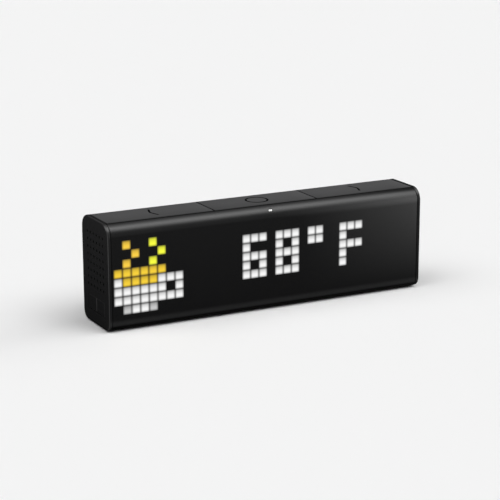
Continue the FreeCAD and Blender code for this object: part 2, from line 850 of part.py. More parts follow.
def build():
    """Every piece by name. A list is a group of separate solids that share one name."""
    front_key_y, rear_key_y = volume_key_y(0), volume_key_y(1)
    return {
        "front_shell": front_shell(),
        "rear_housing": rear_housing(),
        "left_end_cap": end_cap(2 * key_length + key_gap),
        "right_end_cap": mirrored(end_cap(key_length)),
        "rubber_feet": rubber_feet(),
        "diffuser_sheet": diffuser_sheet(),
        "light_grid": light_grid(),
        "display_board": display_board(),
        "left_button": press_plate(0),
        "action_button": press_plate(1),
        "right_button": press_plate(2),
        "button_tray": button_tray(),
        "button_board": button_board(),
        "top_switches": [top_switch(index) for index in range(3)],
        "left_switch_stem": top_stem(0),
        "action_switch_stem": top_stem(1),
        "right_switch_stem": top_stem(2),
        "light_sensor_window": sensor_plug(0),
        "light_sensor": light_sensor(),
        "volume_up_key": side_key(front_key_y),
        "volume_down_key": side_key(rear_key_y),
        "volume_board": side_board(),
        "volume_switches": [side_switch(front_key_y), side_switch(rear_key_y)],
        "volume_up_stem": side_stem(front_key_y),
        "volume_down_stem": side_stem(rear_key_y),
        "power_button": mirrored(side_key(cap_feature_y)),
        "power_board": mirrored(side_board()),
        "power_switch": mirrored(side_switch(cap_feature_y)),
        "power_switch_stem": mirrored(side_stem(cap_feature_y)),
        "grille_cloths": both_ends(grille_cloth()),
        "speaker_frames": both_ends(speaker_frame()),
        "speaker_cones": both_ends(speaker_cone()),
        "speaker_magnets": both_ends(speaker_magnet()),
        "speaker_leads": both_ends(speaker_lead()),
        "main_board": main_board(),
        "radio_can": radio_can(),
        "processor": processor(),
        "memory_chips": memory_chips(),
        "usb_socket": usb_socket(),
        "cable_connectors": cable_connectors(),
        "display_ribbon": display_ribbon(),
        "button_ribbon": button_ribbon(),
        "volume_ribbon": side_ribbon(),
        "power_ribbon": mirrored(side_ribbon()),
    }


def write_parts(parts):
    os.makedirs("parts", exist_ok=True)
    for name, piece in parts.items():
        shape = Part.makeCompound(piece) if isinstance(piece, list) else piece
        shape.exportStep(os.path.join("parts", name + ".step"))


write_parts(build())
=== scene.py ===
"""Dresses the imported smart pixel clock: fine surfaces, finishes, a lit readout, plain lamps and a camera."""
import math

import bpy
import numpy as np
from bpy.props import FloatProperty, FloatVectorProperty, IntProperty, PointerProperty
from mathutils import Matrix, Vector


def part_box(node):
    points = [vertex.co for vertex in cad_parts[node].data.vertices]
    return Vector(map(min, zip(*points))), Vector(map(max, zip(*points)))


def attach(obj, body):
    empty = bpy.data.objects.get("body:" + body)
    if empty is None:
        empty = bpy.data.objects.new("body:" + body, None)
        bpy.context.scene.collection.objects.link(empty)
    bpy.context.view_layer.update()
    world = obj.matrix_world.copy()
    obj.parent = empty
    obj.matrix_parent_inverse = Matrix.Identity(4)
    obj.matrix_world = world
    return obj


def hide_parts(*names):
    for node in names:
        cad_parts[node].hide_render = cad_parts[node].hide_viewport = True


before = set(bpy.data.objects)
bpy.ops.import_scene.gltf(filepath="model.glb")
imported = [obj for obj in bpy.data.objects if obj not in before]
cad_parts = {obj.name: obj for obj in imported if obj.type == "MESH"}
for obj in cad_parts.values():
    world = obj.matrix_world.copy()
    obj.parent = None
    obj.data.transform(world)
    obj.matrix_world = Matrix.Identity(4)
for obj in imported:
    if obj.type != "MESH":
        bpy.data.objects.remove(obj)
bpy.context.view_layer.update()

bl_info = {
    "name": "Smart pixel clock",
    "version": (1, 0, 0),
    "blender": (4, 5, 0),
    "location": "3D View > Sidebar > Pixel clock",
    "description": "Builds the surfaces and finishes of a smart pixel clock over its solid model",
    "category": "Object",
}

MM = 0.001
QUARTER = math.pi / 2
CASE_BODY = "case"
CAP_LOW, CAP_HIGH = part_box("left_end_cap")
SHELL_HIGH, PLATE_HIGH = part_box("front_shell")[1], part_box("action_button")[1]
CLOTH_LOW, CLOTH_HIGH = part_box("grille_cloths")


def length(name, description, default):
    return FloatProperty(name=name, description=description, default=default, unit="LENGTH", precision=5)


def angle(name, description, degrees):
    return FloatProperty(name=name, description=description, default=math.radians(degrees), subtype="ANGLE")


def strength(name, description, default):
    return FloatProperty(name=name, description=description, default=default, min=0.0)


def count(name, description, default):
    return IntProperty(name=name, description=description, default=default, min=1)


def colour(name, description, default):
    return FloatVectorProperty(name=name, description=description, default=default, subtype="COLOR", size=3,
                               min=0.0, max=1.0)


class CaseSizes(bpy.types.PropertyGroup):
    half_length: length("Half length", "From the middle to a cap's outer face", -CAP_LOW.x)
    half_depth: length("Half depth", "From the middle to the front face", -CAP_LOW.y)
    top: length("Top", "Height of the top face above the table", CAP_HIGH.z)
    bottom: length("Bottom", "Height of the base above the table", CAP_LOW.z)
    shell_end: length("Shell end", "From the middle to the end of the front shell", SHELL_HIGH.x)
    top_radius: length("Top radius", "Rounding of the two long upper edges", 7.5 * MM)
    bottom_radius: length("Bottom radius", "Rounding of the two long lower edges", 5.5 * MM)
    wall: length("Wall", "Thickness of the shells", 1.8 * MM)
    end_bevel: length("End bevel", "Rounding where a shell meets a cap", 0.45 * MM)
    seam_bevel: length("Seam bevel", "Rounding along the long seams", 0.2 * MM)
    bottom_seam: length("Bottom seam", "Distance of the seam in the base from the middle", 10.6 * MM)
    seam_gap: length("Seam gap", "Width of the seam in the base", 0.15 * MM)
    skin: length("Skin", "How far the shells lie inside the solid model's outline", 0.03 * MM)
    pocket_width: length("Pocket width", "Width of the socket's pocket", 13.0 * MM)
    pocket_height: length("Pocket height", "Height of the socket's pocket", 9.0 * MM)
    pocket_depth: length("Pocket depth", "Depth of the socket's pocket", 5.2 * MM)
    pocket_wall: length("Pocket wall", "Thickness of the pocket's walls", 0.7 * MM)
    pocket_room: length("Pocket room", "Width of the strip in which the pocket joins the back", 0.95 * MM)
    pocket_corner: length("Pocket corner", "Radius of the pocket's corners", 1.0 * MM)
    pocket_bevel: length("Pocket bevel", "Rounding of the pocket's mouth", 0.35 * MM)


class PlateSizes(bpy.types.PropertyGroup):
    half_depth: length("Half depth", "From the middle to a plate's long edge", PLATE_HIGH.y)
    thickness: length("Thickness", "Thickness of a plate", 1.8 * MM)
    gap: length("Gap", "Space round every plate", 0.5 * MM)
    bevel: length("Bevel", "Rounding of a plate's rim", 0.25 * MM)
    # Painted shade: how far down a plate's rim the darkened seam colour reaches.
    rim_fall: length("Rim fall", "How far a plate's surface falls until its rim's colour is full", 0.35 * MM)
    drawn_in: length("Drawn in", "How far a plate's sides lie inside the solid model's", 0.15 * MM)
    seam_shift: length("Seam shift", "How far the seams beside the plates lie inside the solid's", 0.4 * MM)
    mark_line: length("Line of the marks", "Width of the lines marked on the plates", 1.15 * MM)
    ring_radius: length("Ring radius", "Radius of the round mark's middle line", 6.3 * MM)
    arrow_half: length("Arrow half", "Half the height of an arrow mark", 6.8 * MM)
    arrow_depth: length("Arrow depth", "How far an arrow mark's tip stands out", 2.1 * MM)
    arrow_place: length("Arrow place", "Distance of an arrow mark's tip from the ring's middle", 66.8 * MM)
    marks_middle: length("Middle of the marks", "Where the ring's middle sits along the case", 0.25 * MM)


class CapSizes(bpy.types.PropertyGroup):
    thickness: length("Thickness", "Thickness of an end cap", 2.1 * MM)
    rim_radius: length("Rim radius", "Rounding of the outer rim", 0.9 * MM)
    columns: count("Columns", "Columns of grille holes", 6)
    rows: count("Rows", "Rows of grille holes", 8)
    pitch: length("Pitch", "From one grille hole to the next", 4.3 * MM)
    hole_radius: length("Hole radius", "Radius of a grille hole", 0.9 * MM)
    grille_middle: length("Grille middle", "Height of the grille's middle", (CLOTH_LOW.z + CLOTH_HIGH.z) / 2)
    feature_place: length("Place in the depth", "Where the grille and the keys sit in the depth",
                          (CLOTH_LOW.y + CLOTH_HIGH.y) / 2)
    key_length: length("Key length", "Length of a side key", 11.4 * MM)
    key_height: length("Key height", "Height of a side key", 8.2 * MM)
    key_middle: length("Key middle", "Height of the side keys' middle", 12.25 * MM)
    key_gap: length("Key gap", "Space round every side key", 0.1 * MM)
    key_bevel: length("Key bevel", "Rounding of a side key's face", 0.6 * MM)


class ReadoutSizes(bpy.types.PropertyGroup):
    pitch: length("Pitch", "From one pixel to the next", 5.24 * MM)
    tile: length("Tile", "Side of one lit pixel", 5.2 * MM)
    columns: count("Columns", "Columns of pixels", 37)
    rows: count("Rows", "Rows of pixels", 8)
    middle: length("Middle", "Height of the display's middle", (CAP_LOW.z + CAP_HIGH.z) / 2)
    lens_half_length: length("Sensor half length", "Half the length of the sensor's window", 1.4 * MM)
    lens_half_height: length("Sensor half height", "Half the height of the sensor's window", 0.9 * MM)
    lens_gap: length("Sensor gap", "Dark gap round the sensor's window", 0.3 * MM)
    lens_x: length("Sensor place", "Distance of the sensor's window from the middle", 0.5 * MM)
    lens_angle: angle("Sensor angle", "How high on the rounded edge the sensor sits", 40)


class FinishColours(bpy.types.PropertyGroup):
    front: colour("Front", "Smoked front shell", (0.0072, 0.0072, 0.0074))
    case: colour("Case", "Rear housing and side keys", (0.014, 0.014, 0.0143))
    # Painted light and shade: the caps' colour runs from the lit top colour down to the shaded low colour.
    cap_top: colour("Upper caps", "End caps at their top", (0.0192, 0.0192, 0.0195))
    cap_low: colour("Lower caps", "End caps near the table", (0.0128, 0.0128, 0.0131))
    plate: colour("Plates", "Press plates", (0.0477, 0.0477, 0.0487))
    # Painted shade: the plates darken towards their front edge as the light falls off there.
    plate_front: colour("Plate fronts", "Press plates along their front edge", (0.0355, 0.0355, 0.0363))
    # Painted shade: the plates' rims and sides are darkened where the seams' shade falls.
    plate_rim: colour("Plate rims", "Rims and sides of the press plates", (0.008, 0.008, 0.008))
    mark: colour("Marks", "Lines marked on the plates", (0.003, 0.003, 0.003))
    rubber: colour("Rubber", "Feet", (0.01, 0.01, 0.01))
    board: colour("Boards", "Circuit boards", (0.006, 0.07, 0.035))
    metal: colour("Metal", "Socket, shield can and magnets", (0.55, 0.55, 0.54))
    pale_plastic: colour("Pale plastic", "Connectors, stems and flat cables", (0.62, 0.6, 0.52))
    white_pixel: colour("White pixels", "Lit white pixels", (0.93, 0.93, 0.93))
    amber_pixel: colour("Amber pixels", "Lit amber pixels", (0.92, 0.62, 0.03))
    lime_pixel: colour("Lime pixels", "Lit lime pixels", (0.94, 0.98, 0.04))
    orange_pixel: colour("Orange pixels", "Lit orange pixels", (0.95, 0.61, 0.048))


class StageSettings(bpy.types.PropertyGroup):
    floor: colour("Floor", "Pale floor", (0.9, 0.9, 0.9))
    backdrop: strength("Backdrop", "Brightness of the surroundings as the camera sees them", 0.89)
    sky: strength("Sky", "Brightness of the surroundings as light", 0.15)
    lamps: strength("Lamps", "Strength of all lamps together", 1.0)
    camera_distance: length("Camera distance", "From the camera to the point it looks at", 978.9 * MM)
    camera_turn: angle("Camera turn", "How far the camera stands to the right of the front", -27.33)
    camera_rise: angle("Camera rise", "How far the camera looks down", 14.72)


def settings():
    return bpy.context.scene.pixel_clock


# Surfaces

# The most between two stations of a shell, round its outline and along the case; the steps in the outline's
# upper and lower turns; and how far from a turn the flat face gets a station of its own.
OUTLINE_STEP, LENGTH_STEP = 4 * MM, 20 * MM
UPPER_TURN_STEPS, LOWER_TURN_STEPS = 28, 22
BESIDE_TURN = 0.4 * MM
# Points under a micron apart are one point, and edges turning by less than the angle are shaded smooth.
MERGE_DISTANCE = 0.001 * MM
SMOOTH_ANGLE = math.radians(35)


def outline(case, along, inset):
    """Depth and height of the case's rounded end outline.

    along is the distance round the outline from the middle of the top, positive to the front. The outline is
    a straight, a quarter turn of the top radius, a straight, a quarter turn of the bottom radius and a
    straight, and it is drawn in by inset along its normal. What lies past the base's middle folds to the
    other side.
    """
    top_flat, top_end, low_start, low_end, bottom = outline_marks(case)
    along = np.where(np.abs(along) > bottom, along - 2 * bottom * np.sign(along), along)
    walk = np.abs(along)
    first = np.clip((walk - top_flat) / case.top_radius, 0, QUARTER)
    second = np.clip((walk - low_start) / case.bottom_radius, 0, QUARTER)
    turn = first + second
    out = np.minimum(walk, top_flat) + case.top_radius * np.sin(first)
    out = out - case.bottom_radius * (1 - np.cos(second)) - np.maximum(walk - low_end, 0)
    high = case.top - case.top_radius * (1 - np.cos(first)) - np.clip(walk - top_end, 0, low_start - top_end)
    high = high - case.bottom_radius * np.sin(second)
    side = np.where(along >= 0, -1.0, 1.0)
    return side * (out - inset * np.sin(turn)), high - inset * np.cos(turn)


def outline_marks(case):
    """Distances round the outline where its straights and turns meet, from the top's middle to the base's."""
    top_flat = case.half_depth - case.top_radius
    top_end = top_flat + case.top_radius * QUARTER
    low_start = top_end + case.top - case.bottom - case.top_radius - case.bottom_radius
    low_end = low_start + case.bottom_radius * QUARTER
    return top_flat, top_end, low_start, low_end, low_end + case.half_depth - case.bottom_radius


def outline_turns(case):
    """Distances round the outline at even steps of its upper and its lower turn."""
    top_flat, top_end, low_start, low_end, _ = outline_marks(case)
    return np.concatenate([even_steps(top_flat, top_end, UPPER_TURN_STEPS),
                           even_steps(low_start, low_end, LOWER_TURN_STEPS)])


def outline_distance(case, y):
    """Distance round the outline at which it is y from the middle, on the upper turn."""
    top_flat = outline_marks(case)[0]
    return top_flat + case.top_radius * math.asin((y - top_flat) / case.top_radius)


def edge_drop(distance, radius):
    """A rounded edge's fall: radius less the root of radius squared less (radius - distance) squared."""
    short = np.clip(radius - distance, 0, radius)
    return radius - np.sqrt(radius ** 2 - short ** 2)


def even_steps(start, end, steps):
    return np.linspace(start, end, steps + 1)


def stations(low, high, step, edge=0.0, extra=()):
    """Sorted values from low to high at most step apart, closer at the rounded ends, and the extra ones."""
    steps = max(1, math.ceil((high - low) / step))
    near = edge * (1 - np.cos(even_steps(0, QUARTER, 5))) if edge else np.zeros(0)
    values = np.concatenate([even_steps(low, high, steps), low + near, high - near, np.asarray(extra, float)])
    return tidy_values(values[(values >= low - 1e-9) & (values <= high + 1e-9)])


def tidy_values(values):
    """The values sorted, with those under a fiftieth of a millimetre apart merged."""
    values = np.sort(values)
    return values[np.concatenate([[True], np.diff(values) > 0.02 * MM])]


def thick_sheet(outer, inner, keep=None, patched=None, open_border=False):
    """A sheet between two grids of points: all faces, or those where keep is true, joined along every rim.

    Along patched faces, and along the grids' own border where that is left open, another surface takes over.
    """
    rows, columns = outer.shape[:2]
    keep = np.ones((rows - 1, columns - 1), bool) if keep is None else keep
    index = np.arange(rows * columns).reshape(rows, columns)
    to_inner = rows * columns
    corners = (index[:-1, :-1], index[1:, :-1], index[1:, 1:], index[:-1, 1:])
    front = np.stack([corner[keep] for corner in corners], 1)
    filled = np.pad(keep if patched is None else keep | patched, 1, constant_values=open_border)
    quads = [front, front[:, ::-1] + to_inner]
    quads += rim_quads(index[:, :-1], index[:, 1:], to_inner, filled[:-1, 1:-1], filled[1:, 1:-1])
    quads += rim_quads(index[1:, :], index[:-1, :], to_inner, filled[1:-1, :-1], filled[1:-1, 1:])
    return outward(np.concatenate([outer.reshape(-1, 3), inner.reshape(-1, 3)]), np.concatenate(quads))


def rim_quads(start, end, to_inner, before, after):
    """Side faces along the edges between a kept face and a missing one, from each point to its inner one."""
    sides = ((after & ~before, start, end), (before & ~after, end, start))
    return [np.stack([first[edges], second[edges], second[edges] + to_inner, first[edges] + to_inner], 1)
            for edges, first, second in sides]


def outward(points, quads):
    """The surface with its faces turned about if the volume that they enclose comes out below nothing."""
    a, b, c, d = (points[quads[:, corner]] for corner in range(4))
    volume = (a * (np.cross(b, c) + np.cross(c, d))).sum()
    return points, quads if volume > 0 else quads[:, ::-1]


def joined_rings(rings, closed=False):
    """A surface through rings of equally many points, the last joined to the first where it is closed."""
    size = len(rings[0])
    ring = np.arange(size)
    after = np.roll(ring, -1)
    quads = []
    for level in range(len(rings) - (not closed)):
        base, other = level * size, (level + 1) % len(rings) * size
        quads.append(np.stack([ring + base, after + base, after + other, ring + other], 1))
    surface = np.concatenate(rings), np.concatenate(quads)
    return outward(*surface) if closed else surface


def cell_loop(grid, low_row, high_row, low_column, high_column):
    """The points of the grid round a rectangle of its faces, in turn."""
    return np.concatenate([grid[low_row:high_row, low_column], grid[high_row, low_column:high_column],
                           grid[high_row:low_row:-1, high_column], grid[low_row, high_column:low_column:-1]])


def nearest_round(u, v, half_u, half_v, corner):
    """The points of a rounded rectangle nearest to the points (u, v) outside it.

    Each point is first brought to the rectangle's core, which is smaller by the corner radius, and then moved
    back towards itself by that radius.
    """
    core_u = np.clip(u, corner - half_u, half_u - corner)
    core_v = np.clip(v, corner - half_v, half_v - corner)
    reach = np.hypot(u - core_u, v - core_v)
    return core_u + corner * (u - core_u) / reach, core_v + corner * (v - core_v) / reach


def faces_within(first, second, window):
    """True for each grid face whose middle lies in the window, given as (low, high, low, high)."""
    low_first, high_first, low_second, high_second = window
    middle_first = (first[:-1] + first[1:])[:, None] / 2
    middle_second = (second[:-1] + second[1:])[None, :] / 2
    return ((middle_first > low_first) & (middle_first < high_first)
            & (middle_second > low_second) & (middle_second < high_second))


def sunk_grid(case, along, x, side_edge, end_edge):
    """Grids of along, of x, and of the depth below the outline, which is the skin plus the edges' fall."""
    grid_along, grid_x = np.meshgrid(along, x, indexing="ij")
    to_side = np.minimum(grid_along - along[0], along[-1] - grid_along)
    to_end = np.minimum(grid_x - x[0], x[-1] - grid_x)
    return grid_along, grid_x, case.skin + edge_drop(to_side, side_edge) + edge_drop(to_end, end_edge)


def outline_grids(case, along, x, side_edge, end_edge):
    """Outer and inner points of a panel that follows the case's outline.

    Its outer face is the outline at each distance along and each x, sunk by the skin and by the fall of the
    rounded edges; its inner face is the same outline drawn in by the wall's thickness.
    """
    grid_along, grid_x, sunk = sunk_grid(case, along, x, side_edge, end_edge)
    y, z = outline(case, grid_along, sunk)
    inner_y, inner_z = outline(case, grid_along, np.full_like(sunk, case.wall))
    return np.stack([grid_x, y, z], -1), np.stack([grid_x, inner_y, inner_z], -1)


def shell_stations(case, start, end, along_extra, x_extra):
    """Stations of a shell, round the outline from start to end and along the case from end to end."""
    along = stations(start, end, OUTLINE_STEP, case.seam_bevel, np.concatenate(along_extra))
    x = stations(-case.shell_end, case.shell_end, LENGTH_STEP, case.end_bevel, np.concatenate(x_extra))
    return along, x


def rounded_rings(half_u, half_v, corner, profile, steps):
    """Rounded rectangles as points, one at each height of the profile and drawn in by the inset beside it.

    A point is a corner's centre plus the corner radius times the cosine and the sine of its angle.
    """
    angles = np.concatenate([even_steps(0, QUARTER, steps) + turn * QUARTER for turn in range(4)])
    side_u, side_v = np.repeat([[1, -1, -1, 1], [1, 1, -1, -1]], steps + 1, axis=1)
    rings = []
    for height, inset in profile:
        radius = max(corner - inset, 0.02 * MM)
        u = side_u * (half_u - inset - radius) + radius * np.cos(angles)
        v = side_v * (half_v - inset - radius) + radius * np.sin(angles)
        rings.append(np.stack([u, v, np.full_like(u, height)], 1))
    return rings


def slab(half_u, half_v, corner, profile, steps=6):
    """A rounded rectangle carried along a profile of (height, inset) pairs, closed by a fan at both ends."""
    points, sides = joined_rings(rounded_rings(half_u, half_v, corner, profile, steps))
    size = 4 * (steps + 1)
    ring = np.arange(size)
    after = np.roll(ring, -1)
    top = len(points) - size
    low_end, high_end = np.full(size, len(points)), np.full(size, len(points) + 1)
    fans = [np.stack([after, ring, low_end, low_end], 1),
            np.stack([ring + top, after + top, high_end, high_end], 1)]
    ends = np.array([[0, 0, profile[0][0]], [0, 0, profile[-1][0]]])
    return outward(np.concatenate([points, ends]), np.concatenate([sides] + fans))


def round_profile(low, high, radius, steps=5):
    """A straight side that ends in a quarter turn at the high end, as (height, inset) pairs."""
    turn = even_steps(0, QUARTER, steps)
    sign = math.copysign(1, high - low)
    heights = high - sign * radius * (1 - np.sin(turn))
    return [(low, 0.0)] + list(zip(heights, radius * (1 - np.cos(turn))))


def flat_line(points, width, low, high):
    """A flat line of the given width along a path of (x, y) points, as thick as from low to high.

    Each point is moved to both sides by half the width, square to the line through its neighbours.
    """
    ahead = np.gradient(points, axis=0)
    ahead /= np.linalg.norm(ahead, axis=1, keepdims=True)
    across = np.stack([-ahead[:, 1], ahead[:, 0]], 1) * width / 2
    sides = np.stack([points + across, points - across], 1)
    outer, inner = (np.concatenate([sides, np.full(sides.shape[:2] + (1,), z)], 2) for z in (high, low))
    return thick_sheet(outer, inner)


def flat_ring(radius, width, low, high):
    """A flat ring: four circles of radius less or plus half the width, at the two heights, joined in turn."""
    turn = even_steps(0, 2 * math.pi, 96)[:-1]
    rings = []
    for side, z in ((-1, high), (1, high), (1, low), (-1, low)):
        reach = radius + side * width / 2
        rings.append(np.stack([reach * np.cos(turn), reach * np.sin(turn), np.full_like(turn, z)], 1))
    return joined_rings(rings, closed=True)


def mirrored(surface):
    """The surface for the other end of the case, with its faces turned so that they point outwards again."""
    points, quads = surface
    return points * np.array([-1, 1, 1]), quads[:, ::-1]


def placed(surface, axes, offset):
    """The surface with its own three axes laid along the given ones and moved by offset."""
    points, quads = surface
    turned = points @ np.array(axes, float) + np.array(offset, float)
    return turned, quads if np.linalg.det(np.array(axes, float)) > 0 else quads[:, ::-1]


def merged(points, quads):
    """The same surface with near points joined, and collapsed faces made triangles or dropped."""
    places = np.round(points / MERGE_DISTANCE).astype(np.int64)
    _, first, back = np.unique(places, axis=0, return_index=True, return_inverse=True)
    quads = back.reshape(-1)[quads]
    same = quads == np.roll(quads, -1, axis=1)
    single = same.sum(1) == 1
    order = (same[single].argmax(1)[:, None] + np.array([1, 2, 3])) % 4
    triangles = np.take_along_axis(quads[single], order, 1)
    return points[first], quads[~same.any(1)], triangles[triangles[:, 0] != triangles[:, 2]]


def linked(name, data):
    """A new object in the scene for a mesh, a lamp or a camera."""
    item = bpy.data.objects.new(name, data)
    bpy.context.scene.collection.objects.link(item)
    return item


def make_piece(name, surfaces, material, body, replaces=()):
    """Joins surfaces into one object that rides on a body of the solid model."""
    starts = np.cumsum([0] + [len(points) for points, _ in surfaces])
    quads = np.concatenate([quads + start for (_, quads), start in zip(surfaces, starts)])
    points, whole, triangles = merged(np.concatenate([points for points, _ in surfaces]), quads)
    mesh = bpy.data.meshes.new(name)
    mesh.from_pydata(points.tolist(), [], whole.tolist() + triangles.tolist())
    if mesh.validate():
        raise RuntimeError(name + " has faces that Blender had to mend")
    mesh.polygons.foreach_set("use_smooth", np.ones(len(mesh.polygons), bool))
    mesh.set_sharp_from_angle(angle=SMOOTH_ANGLE)
    mesh.materials.append(material)
    piece = linked(name, mesh)
    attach(piece, body)
    for node in replaces:
        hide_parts(node)


# Finishes

class Nodes:
    """Short calls that add nodes to a tree and give an output. What goes in is an output or a plain value."""

    def __init__(self, tree):
        self.tree = tree

    def feed(self, value, socket):
        """Links value to the socket if it is an output, and sets it otherwise."""
        if isinstance(value, bpy.types.NodeSocket):
            self.tree.links.new(value, socket)
        else:
            socket.default_value = value

    def add(self, kind, output, inputs=(), **choices):
        """Adds a node, makes its choices, feeds its inputs and gives the output asked for."""
        node = self.tree.nodes.new("ShaderNode" + kind)
        for label, value in choices.items():
            setattr(node, label, value)
        for place, value in dict(inputs).items():
            self.feed(value, node.inputs[place])
        return node.outputs[output]

    def calc(self, operation, *values):
        return self.add("Math", 0, enumerate(values), operation=operation)

    def times(self, total, *values):
        for value in values:
            total = self.calc("MULTIPLY", total, value)
        return total

    def plus(self, total, *values):
        for value in values:
            total = self.calc("ADD", total, value)
        return total

    def minus(self, first, second):
        return self.calc("SUBTRACT", first, second)

    def rest(self, value):
        """What is left of one."""
        return self.minus(1.0, value)

    def times_plus(self, first, second, more):
        """The product of the first two, plus the third."""
        return self.calc("MULTIPLY_ADD", first, second, more)

    def noise(self, vector, scale, detail, roughness):
        inputs = {"Vector": vector, "Scale": scale, "Detail": detail, "Roughness": roughness}
        return self.add("TexNoise", "Fac", inputs)

    def mix(self, factor, first, second):
        return self.add("Mix", "Result", {"Factor": factor, "A": first, "B": second}, data_type="RGBA")

    def ramp(self, value, low, high, kind="LINEAR"):
        """value as a share of the way from low to high, kept between 0 and 1."""
        inputs = {"Value": value, "From Min": low, "From Max": high}
        return self.add("MapRange", "Result", inputs, interpolation_type=kind)

    def soft_ramp(self, value, low, high):
        return self.ramp(value, low, high, "SMOOTHSTEP")

    def place(self):
        return self.add("TexCoord", "Object")

    def split(self, vector):
        """The vector's parts, by their names X, Y and Z."""
        return self.add("SeparateXYZ", 0, {0: vector}).node.outputs


class GroupNodes(Nodes):
    """A new node group. The size of an input's value tells whether it is a number, a vector or a colour."""

    def __init__(self, name, inputs):
        super().__init__(bpy.data.node_groups.new(name, "ShaderNodeTree"))
        for label, value in inputs.items():
            kind = {1: "Float", 3: "Vector", 4: "Color"}[np.size(value)]
            self.socket(label, "INPUT", kind).default_value = value
        self.given = self.tree.nodes.new("NodeGroupInput").outputs

    def socket(self, label, side, kind):
        return self.tree.interface.new_socket(label, in_out=side, socket_type="NodeSocket" + kind)

    def close(self, **results):
        """Puts the results out, as a colour the one called Colour and as numbers the others."""
        for label in results:
            self.socket(label, "OUTPUT", "Color" if label == "Colour" else "Float")
        sockets = self.tree.nodes.new("NodeGroupOutput").inputs
        for label, result in results.items():
            self.feed(result, sockets[label])
        return self.tree


def moulded_skin():
    """Node group for moulded surfaces: fine grain, slow unevenness and faint dust, at real scale."""
    group = GroupNodes("moulded_skin", {
        "Colour": (0.02, 0.02, 0.02, 1), "Dust colour": (0.1, 0.1, 0.1, 1), "Dust": 0.05, "Roughness": 0.5,
        "Unevenness": 0.06, "Grain size": 0.3 * MM})
    given, place = group.given, group.place()
    slow_scale, speck_scale, dust_roughness = 28.0, 900.0, 0.3
    speck_rise, film_rise = (0.56, 0.72), (0.35, 0.75)
    grain_scale = group.calc("DIVIDE", 1.0, given["Grain size"])
    grain = group.noise(place, grain_scale, detail=3.0, roughness=0.6)
    slow = group.noise(place, slow_scale, detail=3.0, roughness=0.55)
    specks = group.ramp(group.noise(place, speck_scale, detail=2.0, roughness=0.7), *speck_rise)
    dust = group.times(specks, group.ramp(slow, *film_rise), given["Dust"])
    sway, fine = (group.times(group.minus(wave, 0.5), given["Unevenness"]) for wave in (slow, grain))
    roughness = group.plus(given["Roughness"], sway, fine, group.times(dust, dust_roughness))
    tone = group.mix(dust, given["Colour"], given["Dust colour"])
    return group.close(Colour=tone, Roughness=roughness, Height=grain)


# The case's gloss by height, counted in top radii above the start of the upper rounded edge. Each band has
# the heights at which it starts, is full, starts to fade and is gone, and then its level.
EDGE_BAND = (0.40, 0.79, 0.8, 1.0, 0.5)
SOFT_BAND = (-0.08, 0.23, 0.73, 0.95, 0.1)
SUNKEN_BAND = (-0.25, 0.15, 0.2, 0.51, 0.47)
FOOT_BAND = (-6.75, -6.5, -6.45, -6.1, 0.14)
# The heights between which the flat face's gloss grows and fades, and its level. Its share grows with this
# power of the distance past the middle of the case, and a faint share of it is everywhere.
FACE_GROWTH, FACE_FADE, FACE_LEVEL = (-6.6, -0.3), (0.68, 0.91), 0.51
SIDE_POWER, FAINT_SHARE = 1.5, 0.075
# Distances from a cap's outer face between which all gloss sets in, and the gloss of the rim fades.
END_RISE, RIM_FADE = (0.03 * MM, 0.3 * MM), (0.6 * MM, 0.8 * MM)
# The rim's gloss grows from the low share at the low height to all of it where the upper edge starts to turn.
# Where the surface comes to face upward, it loses a share.
RIM_LOW_SHARE, RIM_LOW_HEIGHT = 0.6, -7.0
UPWARD_RISE, UPWARD_LOSS = (0.0, 0.6), 0.7


def soft_gloss():
    """Node group for the uneven gloss of the case, by height and by place along it.

    The upper rounded edges are glossy over a band. Towards one end of the front that band widens and sinks,
    and the gloss runs down the flat face and fades. Side share blends the two. Rim share adds the gloss of a
    cap's rounded rim.
    """
    group = GroupNodes("soft_gloss", {
        "Turn start": 54.1 * MM, "Turn radius": 7.5 * MM, "Half length": 100.3 * MM, "Side share": 1.0,
        "Rim share": 0.0, "Rim start": 0.3 * MM, "Rim full": 0.7 * MM})
    given, place = group.given, group.split(group.place())
    height = group.calc("DIVIDE", group.minus(place["Z"], given["Turn start"]), given["Turn radius"])

    def with_band(start, full, fading, gone, level, below):
        fade = group.rest(group.soft_ramp(height, fading, gone))
        return group.times_plus(group.times(group.soft_ramp(height, start, full), fade), level, below)

    edge = with_band(*SOFT_BAND, with_band(*EDGE_BAND, 0.0))
    face_fade = group.rest(group.soft_ramp(height, *FACE_FADE))
    face = group.times(group.ramp(height, *FACE_GROWTH), FACE_LEVEL, face_fade)
    along = group.calc("POWER", group.ramp(place["X"], 0.0, given["Half length"]), SIDE_POWER)
    side = group.times(along, given["Side share"])
    share = group.times_plus(side, group.minus(with_band(*SUNKEN_BAND, face), edge), edge)
    share = group.calc("MAXIMUM", share, group.times(face, given["Side share"], FAINT_SHARE))
    to_end = group.minus(given["Half length"], group.calc("ABSOLUTE", place["X"]))
    share = group.times(with_band(*FOOT_BAND, share), group.ramp(to_end, *END_RISE))

    facing = group.split(group.add("NewGeometry", "Normal"))
    upward = group.times(group.ramp(facing["Z"], *UPWARD_RISE), UPWARD_LOSS)
    tall = group.times_plus(group.ramp(height, RIM_LOW_HEIGHT, 0.0), 1 - RIM_LOW_SHARE, RIM_LOW_SHARE)
    rim = group.times(group.ramp(to_end, given["Rim start"], given["Rim full"]),
                      group.rest(group.ramp(to_end, *RIM_FADE)), tall, given["Rim share"], group.rest(upward))
    return group.close(Coat=group.calc("MAXIMUM", share, rim))


def falling_tone():
    """Node group for a colour that changes to another below a height, measured along a direction."""
    group = GroupNodes("falling_tone", {
        "Colour": (0.04, 0.04, 0.04, 1), "Low colour": (0.01, 0.01, 0.01, 1), "Height": 61.6 * MM,
        "Fall": 0.3 * MM, "Direction": (0, 0, 1)})
    given = group.given
    vectors = {0: group.place(), 1: given["Direction"]}
    along = group.add("VectorMath", "Value", vectors, operation="DOT_PRODUCT")
    share = group.ramp(along, group.minus(given["Height"], given["Fall"]), given["Height"])
    return group.close(Colour=group.mix(share, given["Low colour"], given["Colour"]))


